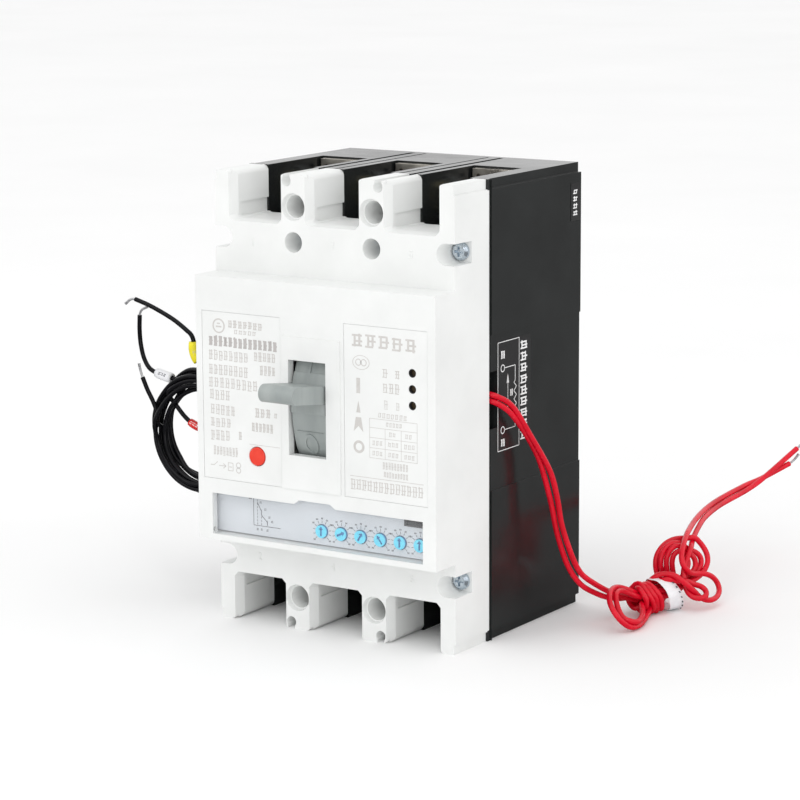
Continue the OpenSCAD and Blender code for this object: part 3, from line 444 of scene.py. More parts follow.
# Rows of the rating plate, in mm: (x0, x1, z0, z1, blocks, stroke)
RATING_ROWS = [
    (-33.3, -19.5, 100.5, 103.1, 7, 0.42), (-31.0, -21.9, 98.6, 100.1, 5, 0.26),
    (-41.2, -25.2, 89.4, 92.9, 8, 0.34), (-23.2, -14.5, 90.4, 93.6, 5, 0.36),
    (-41.3, -25.3, 84.5, 88.2, 8, 0.34), (-20.9, -14.6, 86.0, 89.4, 4, 0.36),
    (-41.4, -21.6, 80.3, 84.0, 9, 0.34), (-41.1, -32.6, 76.3, 79.9, 4, 0.34),
    (-40.8, -30.7, 71.4, 75.0, 5, 0.34), (-23.1, -16.6, 72.0, 75.3, 3, 0.46),
    (-15.6, -14.0, 72.4, 74.4, 1, 0.3), (-40.9, -32.4, 67.3, 70.6, 4, 0.34),
    (-24.4, -15.7, 67.3, 70.4, 6, 0.38), (-40.9, -32.9, 62.9, 66.5, 4, 0.34),
    (-29.7, -28.1, 63.8, 66.8, 1, 0.34), (-39.8, -29.8, 58.0, 61.2, 8, 0.26),
]
RATING_BOLD = (-41.1, -13.7, 94.0, 97.6, 14, 0.6)

# The same for the symbol plate
SYMBOL_ROWS = [
    (26.0, 28.6, 89.7, 92.8, 1, 0.3), (30.8, 32.9, 89.7, 92.6, 1, 0.34),
    (26.2, 32.9, 84.8, 88.2, 3, 0.34), (26.6, 28.5, 79.7, 82.7, 1, 0.2),
    (31.2, 32.8, 79.7, 82.3, 1, 0.2), (24.4, 35.5, 76.7, 78.5, 7, 0.22),
    (26.1, 35.8, 60.4, 62.9, 9, 0.22), (26.5, 35.8, 57.8, 59.8, 9, 0.22),
]
SYMBOL_TITLE = (14.4, 39.4, 98.4, 103.2, 5, 0.75)
SYMBOL_FOOT = (13.9, 41.4, 52.6, 56.3, 13, 0.34)


def print_rating_plate():
    face = front_face(front_of("rating_plate"))
    light = Relief(face, PRINT_H, 11)
    for row in RATING_ROWS:
        light.row(*row)
    light.ring(-36.9, 100.8, 2.2, 0.5)
    light.rect(-38.0, -35.8, 100.3, 100.8)
    light.rect(-37.6, -36.4, 101.4, 101.8)
    # Small contact symbols in a line along the bottom
    light.path([(-41.0, 54.6), (-39.6, 54.6), (-38.2, 55.8)], 0.24)
    light.path([(-37.6, 54.6), (-34.9, 54.6)], 0.24)
    light.path([(-35.9, 53.8), (-34.9, 54.6), (-35.9, 55.4)], 0.24)
    light.frame(-34.0, -31.9, 53.2, 56.0, 0.22)
    light.rect(-33.5, -32.4, 54.4, 54.7)
    light.ring(-29.8, 55.4, 0.85, 0.26)
    light.ring(-29.8, 53.7, 0.85, 0.26)
    light.finish("rating_print", INK)
    bold = Relief(face, PRINT_H, 12)
    bold.row(*RATING_BOLD)
    bold.finish("rating_print_bold", INK_BOLD)
    rule = Relief(face, PRINT_H)
    rule.rect(-25.3, -13.2, 62.9, 63.05)
    rule.finish("rating_rule", INK)


def print_symbol_plate():
    face = front_face(front_of("symbol_plate"))
    light = Relief(face, PRINT_H, 21)
    for row in SYMBOL_ROWS:
        light.row(*row)
    light.row(*SYMBOL_FOOT, space=0.12)
    light.rect(13.9, 41.4, 57.0, 57.18)
    light.ring(18.3, 93.8, 3.1, 0.24, tall=0.72)
    light.ring(17.3, 93.8, 1.0, 0.28)
    light.ring(19.3, 93.8, 1.0, 0.28)
    # Table of values: a head over two rows of three cells
    u = [21.3, 27.2, 33.2, 39.2]
    v = [63.6, 66.9, 70.2, 73.4, 76.4]
    light.frame(u[0], u[3], v[0], v[4], 0.16)
    for level in v[1:4]:
        light.rect(u[0] + 0.16, u[3] - 0.16, level - 0.08, level + 0.08)
    for place in u[1:3]:
        light.rect(place - 0.08, place + 0.08, v[0] + 0.16, v[3] - 0.08)
    light.row(27.4, 33.6, v[3] + 0.7, v[4] - 0.7, 5, 0.2)
    for k in (1, 2):
        light.row(u[k] + 1.3, u[k + 1] - 1.9, v[2] + 0.8, v[3] - 0.8, 2, 0.2)
    for r in (0, 1):
        for k in (0, 1, 2):
            light.row(u[k] + 0.9, u[k + 1] - 0.9, v[r] + 0.8, v[r + 1] - 0.8, 3, 0.2)
    light.finish("symbol_print", INK)
    bold = Relief(face, PRINT_H, 22)
    bold.row(*SYMBOL_TITLE)
    # On, the two arrows and off
    bold.rect(16.5, 17.9, 83.9, 88.8)
    bold.prism([(16.4, 77.7), (18.0, 77.7), (17.2, 81.5)])
    bold.prism([(15.4, 71.6), (17.2, 73.4), (17.2, 76.2), (16.2, 76.2)])
    bold.prism([(17.2, 73.4), (19.0, 71.6), (18.2, 76.2), (17.2, 76.2)])
    bold.ring(17.3, 66.7, 1.65, 0.85)
    bold.finish("symbol_print_bold", INK)


LED_X = 37.4
LED_LEVELS = (81.8, 87.0, 92.1)
# Where the painted shade in the status light holes begins and how deep it runs, in mm
LED_SHADE_Y = -34.2
LED_SHADE_DEPTH = 1.5


def shade_led_holes():
    """Painted shade: dark rings lining the three holes of the status lights."""
    # A dark lining stands for the shade inside each hole
    hole_shade = Relief(front_face(LED_SHADE_Y), LED_SHADE_DEPTH)
    for z in LED_LEVELS:
        hole_shade.ring(LED_X, z, 1.295, 0.19)
    hole_shade.finish("led_hole_shade", SWITCH)


DIAL_X = 0.2
DIAL_PITCH = 7.5
DIAL_Z = 36.4
# Ticks run between two radii round a dial, with a value at each, where it clears the next dial
TICK_IN, TICK_OUT = 2.7, 3.6
VALUE_R = 4.2
VALUE_REACH = 3.4
CHART_FLOOR = 35.2
CHART_DASH = 1.1


def print_panel():
    """Marks round each dial and a small time-current chart."""
    relief = Relief(front_face(front_of("dial_plate")), PRINT_H, 31)
    for i in range(6):
        u, v = DIAL_X + DIAL_PITCH * i, DIAL_Z
        for degrees in range(-135, 136, 27):
            a = math.radians(degrees)
            s, c = math.sin(a), math.cos(a)
            relief.line((u + TICK_IN * s, v + TICK_IN * c), (u + TICK_OUT * s, v + TICK_OUT * c),
                        0.16)
            if abs(s) * VALUE_R < VALUE_REACH:
                relief.row(u + VALUE_R * s - 0.42, u + VALUE_R * s + 0.42,
                           v + VALUE_R * c - 0.3, v + VALUE_R * c + 0.3, 2, 0.13)
    # The chart's axes, dashed verticals, curve and marks
    relief.path([(-26.8, 44.6), (-26.8, CHART_FLOOR), (-16.2, CHART_FLOOR)], 0.2)
    for u, high in ((-25.3, 44.4), (-23.7, 41.0), (-21.4, 38.2)):
        for k in range(int((high - CHART_FLOOR) / CHART_DASH)):
            low = CHART_FLOOR + CHART_DASH * k
            relief.rect(u - 0.1, u + 0.1, low + 0.3, low + 0.95)
    relief.path([(-25.3, 43.0), (-24.6, 41.6), (-23.7, 40.2), (-23.7, 38.8), (-22.2, 37.4),
                 (-21.4, 36.6), (-21.4, 35.6)], 0.24)
    for u, v in ((-24.4, 42.6), (-22.6, 40.4), (-21.0, 38.0), (-20.0, 36.6)):
        relief.block(u, u + 0.9, v, v + 0.8, 0.14)
    for u in (-25.7, -24.1, -21.8):
        relief.block(u, u + 0.8, 33.6, 34.4, 0.14)
    relief.row(-28.6, -27.4, 43.6, 44.4, 2, 0.14)
    relief.finish("panel_print", INK_PANEL)


# The wiring label lies lower than the rating label above it
WIRING_X = 46.25
WIRING_TITLE = (63.0, 33.4, 9)
RATING_SIDE_TITLE = (132.6, 9.4, 4)


def print_side_labels():
    """A title and a small wiring diagram, and a title on the rating label's side."""
    lead = Relief(side_face(WIRING_X), PRINT_H, 41)
    lead.frame(0.9, 14.4, 61.5, 97.1, 0.22)
    start, length, count = WIRING_TITLE
    step = length / count
    for k in range(count):
        v = start + step * k
        lead.block(15.2, 19.4, v, v + step * 0.84, 0.62)
    for v in (88.4, 68.2):
        lead.ring(4.0, v, 1.1, 0.3)
        lead.path([(5.1, v), (11.8, v)], 0.24)
    lead.path([(11.8, 88.4), (11.8, 83.4), (11.0, 82.8), (12.6, 81.4), (11.0, 80.0),
               (12.6, 78.6), (11.0, 77.2), (12.6, 75.8), (11.8, 75.0), (11.8, 68.2)], 0.26)
    lead.path([(7.2, 75.0), (7.2, 84.6)], 0.22)
    lead.prism([(6.5, 83.2), (7.9, 83.2), (7.2, 86.2)])
    lead.row(2.8, 5.4, 91.4, 94.2, 2, 0.34)
    lead.row(2.8, 5.4, 62.8, 65.4, 2, 0.34)
    lead.row(8.6, 10.4, 78.6, 81.0, 2, 0.3)
    lead.finish("side_print", INK_WHITE)
    top = Relief(side_face(right_of("side_labels")), PRINT_H, 42)
    start, length, count = RATING_SIDE_TITLE
    step = length / count
    for k in range(count):
        top.block(48.4, 51.2, start + step * k, start + step * (k + 0.78), 0.46)
    top.finish("rating_side_print", INK_WHITE)


FLANGE_Y = -24.5
TERMINAL_NUMBERS = [("1", -31.1, 127.1), ("3", 0.1, 128.2), ("5", 29.7, 127.3),
                    ("2", -30.0, 22.6), ("4", -1.0, 22.6), ("6", 29.5, 22.6)]


def emboss_numbers():
    """Terminal numbers 1 to 6 raised on the flange."""
    for text, x, z in TERMINAL_NUMBERS:
        curve = bpy.data.curves.new("number", "FONT")
        curve.body = text
        curve.size = 3.6 * MM
        curve.extrude = 0.14 * MM
        curve.bevel_depth = 0.05 * MM
        curve.resolution_u = 3
        curve.align_x = "CENTER"
        curve.align_y = "CENTER"
        stand = bpy.data.objects.new("number", curve)
        stand.matrix_world = (Matrix.Translation((x * MM, FLANGE_Y * MM, z * MM))
                              @ Matrix.Rotation(math.pi / 2, 4, "X"))
        bpy.context.scene.collection.objects.link(stand)
        bpy.context.view_layer.update()
        graph = bpy.context.evaluated_depsgraph_get()
        mesh = bpy.data.meshes.new_from_object(stand.evaluated_get(graph))
        mesh.transform(stand.matrix_world)
        mesh.name = f"number_{text}"
        mesh.materials.clear()
        mesh.materials.append(WHITE)
        bpy.data.objects.remove(stand)
        bpy.data.curves.remove(curve)
        add_object(f"number_{text}", mesh, "case")


SHUTTER_R = 35.6
SHUTTER_Z = 76.8
SHUTTER_MARK_H = 0.38
ON_BAR_STEP = 1.75


def along_shutter(degrees):
    return SHUTTER_R * math.radians(degrees)


def mark_shutter():
    """On and off marks and three ribs raised on the handle's shutter."""
    relief = Relief(shutter_face(SHUTTER_R, SHUTTER_Z), SHUTTER_MARK_H)
    # The on bar follows the curve in four pieces that overlap a little
    foot = along_shutter(15.5)
    for k in range(4):
        v0, v1 = foot + ON_BAR_STEP * k, foot + ON_BAR_STEP * (k + 1)
        relief.rect(-3.6, -2.3, v0, v1 + (0.01 if k < 3 else 0))
    relief.ring(-2.4, along_shutter(-19.5), 2.3, 0.8, tall=1.35, steps=40)
    for degrees in (11.9, -12.6, -30.5):
        v = along_shutter(degrees)
        relief.rect(-7.2, 3.0, v, v + 0.28)
    relief.finish("shutter_marks", HANDLE, "handle_assembly", edge=0.1)


# ---------- sleeves, tie and bare ends on the cords ----------


def frame_along(line):
    """Unit tangent and two normals at each point of a line, without twist."""
    t = np.gradient(line, axis=0)
    t /= np.linalg.norm(t, axis=1)[:, None]
    n = np.cross(t[0], [0.0, 0.0, 1.0])
    if np.linalg.norm(n) < 0.1:
        n = np.cross(t[0], [0.0, 1.0, 0.0])
    normals = []
    for d in t:
        n = n - d * np.dot(n, d)
        n = n / np.linalg.norm(n)
        normals.append(n.copy())
    n = np.array(normals)
    return t, n, np.cross(t, n)


def nearest(line, point):
    """Index of the line's point that is nearest to a place."""
    return int(np.argmin(np.linalg.norm(line - np.array(point), axis=1)))


def sleeve(name, line, at, length, bore, outer, material, sides=20):
    """A short marker tube with an open bore that follows a cord."""
    steps = np.linalg.norm(np.diff(line, axis=0), axis=1).mean()
    half = max(2, int(round(length / steps / 2)))
    i = min(max(nearest(line, at), half), len(line) - half - 1)
    part = line[i - half:i + half + 1]
    _, n, b = frame_along(part)
    bm = bmesh.new()
    soft = 0.15
    last = len(part) - 1
    profile = [(0, bore)] + [(k, outer - (soft if k in (0, last) else 0))
                             for k in range(last + 1)] + [(last, bore)]
    rings = []
    for k, r in profile:
        rings.append([bm.verts.new([float(c) for c in (part[k] + r * (math.cos(a) * n[k]
                                                                     + math.sin(a) * b[k])) * MM])
                      for a in (2 * math.pi * j / sides for j in range(sides))])
    for one, two in zip(rings, rings[1:] + rings[:1]):
        for j in range(sides):
            m = (j + 1) % sides
            bm.faces.new((one[j], one[m], two[m], two[j]))
    bmesh.ops.recalc_face_normals(bm, faces=bm.faces)
    mesh = bpy.data.meshes.new(name)
    bm.to_mesh(mesh)
    bm.free()
    mesh.materials.append(material)
    mesh.polygons.foreach_set("use_smooth", [True] * len(mesh.polygons))
    return add_object(name, mesh, "case"), part


def sleeve_marks(name, part, radius, towards, material, count=3, size=1.0):
    """Generic marks on a marker tube, on the side that looks the given way."""
    middle = len(part) // 2
    t = part[middle + 1] - part[middle - 1]
    t /= np.linalg.norm(t)
    out = np.array(towards) - t * np.dot(towards, t)
    out /= np.linalg.norm(out)
    side = np.cross(out, t)

    def place(u, v, h):
        a = v / radius
        p = part[middle] + t * u + (radius + h) * (math.cos(a) * out + math.sin(a) * side)
        return tuple(float(c) for c in p)

    relief = Relief(place, PRINT_H, len(name))
    for k in range(count):
        u = (k - count / 2) * size * 1.25 + 0.1
        relief.block(u, u + size, -0.55, 0.55, 0.2)
    return relief.finish(name, material)


STRAND_R = 0.16


def bare_tip(name, line, towards, length=5.0, strands=6):
    """Twisted fine strands out of the end of a cord, bending towards a direction."""
    end = Vector(line[-1])
    start_way = Vector(line[-1] - line[-4]).normalized()
    end_way = Vector(towards).normalized()
    curve = bpy.data.curves.new(name, "CURVE")
    curve.dimensions = "3D"
    curve.bevel_depth = STRAND_R * MM
    curve.bevel_resolution = 2
    curve.use_fill_caps = True
    steps = 14
    middle = [end - start_way * 0.6]
    for k in range(steps):
        middle.append(middle[-1] + start_way.lerp(end_way, min(1, k / steps * 1.5)).normalized()
                      * (length + 0.6) / steps)
    _, n, b = frame_along(np.array([tuple(p) for p in middle]))
    for s in range(strands):
        spline = curve.splines.new("POLY")
        spline.points.add(len(middle) - 1)
        for k, point in enumerate(spline.points):
            a = 2 * math.pi * (s / strands + 0.075 * k)
            r = 0.27 + 0.10 * (k / steps) ** 3 * (1 + 0.6 * math.sin(5.1 * s))
            p = middle[k] + Vector(n[k]) * r * math.cos(a) + Vector(b[k]) * r * math.sin(a)
            point.co = (*(p * MM), 1)
    curve.materials.append(STRANDS)
    return add_object(name, curve, "case")


# The tie's middle in the hank's own directions, its radius, and how far it leans along the hank
TIE_U, TIE_V, TIE_W, TIE_R = 3.9, 0.0, 0.1, 6.0
TIE_LEAN = 2.4
# It is a little wider than high
TIE_WIDE, TIE_HIGH = 1.02, 0.94
TAPE_WIDTH = 6.0
TAPE_THICK = 0.28


def hank_tie():
    """A crumpled cloth tape round the hank, its two ends lapped."""
    rng = random.Random(5)
    turns, steps, across = 1.18, 76, 8
    bm = bmesh.new()
    rows = []
    for k in range(steps + 1):
        share = k / steps
        a = math.radians(-60) + 2 * math.pi * turns * share
        lap = 0.5 * max(0.0, share * turns - 1) / (turns - 1) + 0.5 * (share * turns > 1)
        lift = 1.4 * max(0.0, share - 0.96) / 0.04
        r = TIE_R + lap + lift + 0.10 * math.sin(7 * a) + rng.uniform(-0.05, 0.05)
        lean = -TIE_LEAN * math.sin(a) + 0.25 * math.sin(3 * a + 1)
        row = []
        for j in range(across + 1):
            s = j / across - 0.5
            cup = 0.45 * (0.25 - s * s) + 0.07 * math.sin(9 * a + 5 * s)
            u = TIE_U + lean + TAPE_WIDTH * s
            v = TIE_V + (r + cup) * TIE_WIDE * math.cos(a)
            w = TIE_W + (r + cup) * TIE_HIGH * math.sin(a)
            row.append(bm.verts.new([c * MM for c in hank_point(u, v, w, 0.35)]))
        rows.append(row)
    for one, two in zip(rows, rows[1:]):
        for j in range(across):
            bm.faces.new((one[j], one[j + 1], two[j + 1], two[j]))
    mesh = bpy.data.meshes.new("hank_tie_tape")
    bm.to_mesh(mesh)
    bm.free()
    mesh.materials.append(TAPE)
    mesh.polygons.foreach_set("use_smooth", [True] * len(mesh.polygons))
    obj = add_object("hank_tie_tape", mesh, "case")
    thick = obj.modifiers.new("thickness", "SOLIDIFY")
    thick.thickness = TAPE_THICK * MM
    thick.offset = 0
    smooth = obj.modifiers.new("smooth", "SUBSURF")
    smooth.levels = smooth.render_levels = 1
    mark_tie()
    return obj


def mark_tie():
    """A row of small generic marks along the tape's edge."""
    def place(u, v, h):
        a = v / TIE_R
        r = TIE_R + 0.45 + h
        return hank_point(TIE_U + 1.6 - TIE_LEAN * math.sin(a) + u,
                          TIE_V + r * TIE_WIDE * math.cos(a),
                          TIE_W + r * TIE_HIGH * math.sin(a), 0.0)

    marks = Relief(place, 0.18, 51)
    for k in range(8):
        v = TIE_R * math.radians(110 + 17 * k)
        marks.block(0.1, 0.65, v, v + 0.7, 0.14)
    marks.finish("hank_tie_marks", INK_PANEL)


# ---------- cords ----------


def catmull(points, spacing):
    """Smooth line through the points, resampled at an even spacing."""
    p = np.array(points, float)
    p = np.concatenate([[2 * p[0] - p[1]], p, [2 * p[-1] - p[-2]]])
    fine = []
    for a, b, c, d in zip(p, p[1:], p[2:], p[3:]):
        for t in np.arange(24) / 24:
            fine.append(0.5 * (2 * b + (c - a) * t + (2 * a - 5 * b + 4 * c - d) * t ** 2
                               + (3 * b - a - 3 * c + d) * t ** 3))
    fine.append(p[-2])
    return resample(np.array(fine), spacing)


def resample(line, spacing):
    """The same line with points at an even spacing close to the given one."""
    steps = np.linalg.norm(np.diff(line, axis=0), axis=1)
    along = np.concatenate([[0], np.cumsum(steps)])
    count = max(2, int(round(along[-1] / spacing)) + 1)
    at = np.linspace(0, along[-1], count)
    return np.stack([np.interp(at, along, line[:, k]) for k in range(3)], axis=1)


def settle(cords, diameter, held, rounds=160, floor=True, stiff=0.12):
    """Pushes cords apart where they lie in each other, keeping their lengths and smoothness.

    held gives, for each cord, how many points at its start and at its end stay where they are.
    """
    p = np.concatenate(cords)
    owner = np.concatenate([np.full(len(c), i) for i, c in enumerate(cords)])
    index = np.concatenate([np.arange(len(c)) for c in cords])
    last = np.concatenate([np.full(len(c), len(c) - 1) for c in cords])
    held_a = np.array([held[i][0] for i in owner])
    held_b = np.array([held[i][1] for i in owner])
    free = ((index >= held_a) & (index <= last - held_b)).astype(float)[:, None]
    joined = np.flatnonzero(owner[:-1] == owner[1:])
    rest = np.linalg.norm(p[joined + 1] - p[joined], axis=1)
    inner = np.flatnonzero((owner[:-2] == owner[2:])) + 1
    # Points of one cord that are this near along it don't push each other
    apart = int(3.2 * diameter / rest.mean()) + 1
    first, second = np.triu_indices(len(p), 1)
    other = (owner[first] != owner[second]) | (second - first > apart)
    first, second = first[other], second[other]
    for r in range(rounds):
        if r % 8 == 0:
            near = np.linalg.norm(p[first] - p[second], axis=1) < 2.2 * diameter
            a, b = first[near], second[near]
        gap = p[a] - p[b]
        dist = np.linalg.norm(gap, axis=1)
        hit = dist < diameter
        push = gap[hit] / np.maximum(dist[hit], 1e-6)[:, None]
        push *= ((diameter - dist[hit]) * 0.35)[:, None]
        move = np.zeros_like(p)
        np.add.at(move, a[hit], push)
        np.add.at(move, b[hit], -push)
        p += np.clip(move, -0.4 * diameter, 0.4 * diameter) * free
        p[inner] += stiff * (0.5 * (p[inner - 1] + p[inner + 1]) - p[inner]) * free[inner]
        for half in (0, 1):
            j = joined[half::2]
            want = rest[half::2]
            gap = p[j + 1] - p[j]
            dist = np.linalg.norm(gap, axis=1)
            fix = (0.5 * (dist - want) / np.maximum(dist, 1e-6))[:, None] * gap
            p[j] += fix * free[j]
            p[j + 1] -= fix * free[j + 1]
        if floor:
            low = p[:, 2] < diameter / 2
            p[low, 2] = diameter / 2
    return [p[owner == i] for i in range(len(cords))]


def cord_curve(name, points, diameter, material):
    """A round cord through the points, which are in mm."""
    curve = bpy.data.curves.new(name, "CURVE")
    curve.dimensions = "3D"
    spline = curve.splines.new("BEZIER")
    spline.bezier_points.add(len(points) - 1)
    for q, b in zip(points, spline.bezier_points):
        b.co = [float(c) * MM for c in q]
        b.handle_left_type = b.handle_right_type = "AUTO"
    spline.resolution_u = 3
    curve.bevel_depth = diameter / 2 * MM
    curve.bevel_resolution = 4
    curve.use_fill_caps = True
    curve.materials.append(material)
    return add_object(name, curve, "case")


# Exits, tails and the coil's middle and radius are in millimetres, as in the part's source
RED_D = 1.9
RED_EXITS = [
    [[44, -1.9, 80.8], [46.6, -1.6, 80.4], [49.3, 4.6, 76.4], [51.2, 13.5, 65.1], [54, 21, 52.6],
     [55.1, 24, 43], [56, 26, 32.8], [58.6, 30, 20.2], [61.2, 34, 14], [66, 40, 8.4]],
    [[44, -1.9, 78.8], [46.6, -1.7, 78.3], [48.8, 3.4, 74.8], [49.6, 11.5, 67.2],
     [51.2, 18, 57.6], [52.4, 21, 49], [53.4, 23.5, 40], [54.3, 26, 29.7], [56.6, 29.5, 18.4],
     [59.8, 34, 11.4], [64.7, 40, 6.4]],
]
RED_TAILS = [
    [[80.2, 62.4, 15.7], [80.3, 63.6, 19.6], [78.2, 69.5, 22.1], [71.7, 90.3, 24.4],
     [67.6, 111.9, 25.7], [68.2, 134, 27.6], [70.4, 145, 28.9], [75.5, 156.8, 32.7]],
    [[80.8, 64.8, 14], [81, 66.4, 17.6], [79.4, 71.5, 19.8], [72.9, 91.2, 22.9],
     [69, 111.9, 24.4], [69.9, 133.8, 26.6], [72, 144.2, 29.8], [76.2, 161.5, 37.5]],
]
# The hank lies along the line from A to B; its points are (along, across, up) from its middle
HANK_A = np.array([70.0, 45.0, 0.0])
HANK_B = np.array([79.0, 68.0, 0.0])
HANK_MIDDLE = (HANK_A + HANK_B) / 2 + np.array([0, 0, 5.6])
HANK_ALONG = (HANK_B - HANK_A) / np.linalg.norm(HANK_B - HANK_A)
HANK_ACROSS = np.array([-HANK_ALONG[1], HANK_ALONG[0], 0.0])
WRAP_R = 5.0
WRAP_LEAN = -0.2
WRAP_DROP = 0.2
WRAP_STEPS = 12
# Passes through the hank with a loop at each end, two for each lead
HANK_LOOPS = [
    [[-12, 1.8, 1], [-6, 1.5, -1.4], [0, 1.6, -1.4], [5, 1.8, -1.2], [8.6, 3.4, 0.4],
     [8.3, 5.4, 3.2], [5.6, 6.4, 7], [5.3, 6.6, 9.9], [6.3, 6.8, 12.8], [8.8, 7, 15.4],
     [12.5, 6.7, 17.1], [17.1, 6.4, 17], [21.6, 5.2, 15.4], [25.1, 3.4, 12.7], [26.1, 1.4, 9.9],
     [24.9, -0.6, 7.4], [22, -1.4, 4.9], [17.2, -1.8, 3.8], [12.4, -1.6, 2.9], [6, -1.6, 1.4],
     [0, -1.5, 1.4], [-6, -1.4, 1.6], [-12.6, -0.6, 4.3], [-17.9, -2, 6.9], [-22.8, -4, 7.6],
     [-26.8, -7, 6.7], [-29.3, -10, 4.7], [-30, -12.5, 2.7], [-29, -14.5, 0.2],
     [-27.3, -15.8, -2.4], [-23.9, -15.7, -4.6], [-20.7, -15.9, -4.6], [-14.4, -11.1, -4.4],
     [-9.6, -6.9, -3.6], [-3, -0.5, -2.1], [2, 0.8, -2.1], [6, 1.6, -1.6], [9.6, 2.8, 1.2],
     [7.5, 4.6, 7.4], [7.3, 4.4, 10], [8.3, 4, 12.8], [10.2, 3.2, 15.2], [12.5, 2.4, 15.8],
     [14.6, 1.4, 14.3], [16.9, 0.6, 11.8], [18.7, 0, 9], [18.4, -0.6, 6.4], [15.3, -0.8, 4.6],
     [12, -0.4, 3.5], [5, 0.3, 2.1], [0, 0.8, 2.2], [-4.2, 1.9, 3.2], [-6.8, 1.2, 4.5]],
    [[-12, 3.4, -0.8], [-6, 2.3, 0.6], [0, 2.2, 0.4], [5, 2.4, 0.8], [9.6, 4.2, 2.4],
     [6.3, 5.4, 7.1], [6.3, 5.6, 9.7], [7.2, 5.4, 12.9], [9.4, 4.8, 15.4], [12.6, 4, 16.4],
     [15.7, 3, 15.2], [19.1, 2.2, 12.9], [21.6, 1.4, 10.4], [22.7, 0.8, 7.7], [20.9, 0.2, 5.5],
     [17.1, -0.2, 4.2], [13, -0.4, 3.4], [6, -2.2, -0.4], [0, -2.2, -0.4], [-6, -2.2, 0],
     [-13.9, -1.6, 3.6], [-17.8, -3, 6.3], [-21.6, -5, 6.8], [-24.4, -7.5, 5.3],
     [-25.1, -9.5, 3.2], [-25.4, -11.4, 0.6], [-25.2, -13, -1.6], [-24.6, -15.2, -3],
     [-22.4, -16.6, -3.2], [-18.6, -14.4, -2.6], [-13.3, -9.9, -2], [-3, 0, 0], [2, 0.2, 0.2],
     [7, 0.8, 0.2], [10.2, 1.8, 2.4], [8.7, 3.2, 7.5], [8.8, 3.2, 9.8], [9.6, 2.8, 12.5],
     [11.1, 2.2, 14.3], [13, 1.6, 13.9], [14.6, 1, 11.7], [15.5, 0.6, 9], [14.9, 0, 6.5],
     [12.3, -0.6, 4.7], [8.8, -1.2, 3.4], [3, -1.2, -1.9], [-1.5, -1.8, -2.4],
     [-5, -2.2, -3.6], [-6.8, -0.6, -4.5]],
]
# Turns round the hank: (turns, first place, last place, first angle)
HANK_WRAPS = [(1.85, -9.0, 0.2, 2.0), (2.35, -8.8, 0.6, 5.1)]
# Over the tie, a curl at the end, and up into the free end
HANK_CURLS = [
    [[2, -1.5, 8.2], [4.6, -3.5, 7.4], [6.6, -5.4, 5.8], [8.2, -7, 3.2], [10.4, -7.9, 0.2],
     [12.4, -8.4, -2.2], [15.7, -9.3, -3], [20.9, -7.4, -2.6], [26.1, -3.4, -1.1],
     [25.3, -2.8, 2], [23.2, -1.8, 4], [19.2, -1.8, 5.2], [14.6, -2.4, 5.4], [10.1, -3, 6.8]],
    [[2, -1.7, 7.6], [4.4, -3.2, 6.9], [6.3, -5, 5.4], [8.9, -5.8, 3.7], [12.2, -5.6, 3.1],
     [15.2, -6.2, 2.4], [16.3, -7.8, 1.1], [14.4, -9.6, -1], [11, -9.2, -1.6],
     [8.9, -7.4, -0.4], [8.4, -5.2, 2.6], [9, -3.4, 6.1]],
]


def hank_point(u, v, w, lowest=RED_D / 2):
    """Point at u along the hank, v across it and w above its middle."""
    p = HANK_MIDDLE + HANK_ALONG * u + HANK_ACROSS * v
    return [float(p[0]), float(p[1]), max(lowest, float(p[2]) + w)]


def red_route(w):
    """Exit, loops, turns round the hank, curl and tail of one red lead."""
    turns, begin, end, start = HANK_WRAPS[w]
    wraps = []
    for k in range(int(WRAP_STEPS * turns) + 1):
        a = start + 2 * math.pi * k / WRAP_STEPS
        up = WRAP_R * math.sin(a)
        u = begin + (end - begin) * k / (WRAP_STEPS * turns) + WRAP_LEAN * up
        wraps.append([u, WRAP_R * math.cos(a), up - WRAP_DROP])
    inside = HANK_LOOPS[w] + wraps + HANK_CURLS[w]
    return RED_EXITS[w] + [hank_point(*p) for p in inside] + RED_TAILS[w]


COIL_CENTRE = (-73.2, 4, 55)
COIL_R = 19.0
BLACK_D = 1.6
BLACK_EXITS = [
    [[-44, -1.4, 80], [-49, 1, 79], [-54, 3, 76.5], [-60, 4, 75]],
    [[-44, -1.4, 78], [-49, 2, 76], [-54, 5, 73.5], [-60, 6, 73]],
    [[-44, -1.4, 76], [-48, 1, 73], [-52, 3.2, 65], [-58, 4.4, 58.2], [-66, 4.6, 55.6],
     [-75, 4.4, 55.6], [-80.5, 4.2, 58], [-86, 4, 64]],
]
BLACK_TAILS = [
    [[-63, 4, 70], [-69, 4, 73.5], [-72.8, 4, 76.5], [-75.6, 4, 80], [-77, 4, 83],
     [-77.1, 4, 85.6], [-77.5, 4, 87.8], [-80, 4, 89.9], [-86, 4, 93.4], [-95, 4, 97],
     [-102, 4, 99]],
    [[-80, 3, 72.4], [-84.6, 3, 72.4], [-89, 3.4, 73.2], [-93.4, 4, 74], [-97, 4.8, 75],
     [-99.9, 5.5, 78.2], [-101.6, 6, 83], [-102, 6, 88], [-101.8, 6, 93.2]],
    [[-91.6, 2, 56], [-92, 2, 60], [-93.6, 2, 64], [-96, 2, 68], [-98, 2, 72.2]],
]
# Where each black lead joins and leaves the coil, in degrees from +X towards +Z
COIL_SPANS = [(82, 1122), (78, 1173), (142, -898)]
# The three leads lie round each other within this radius, which swells and shrinks a little
BUNDLE_R = 2.9
BUNDLE_SWELL = 0.6


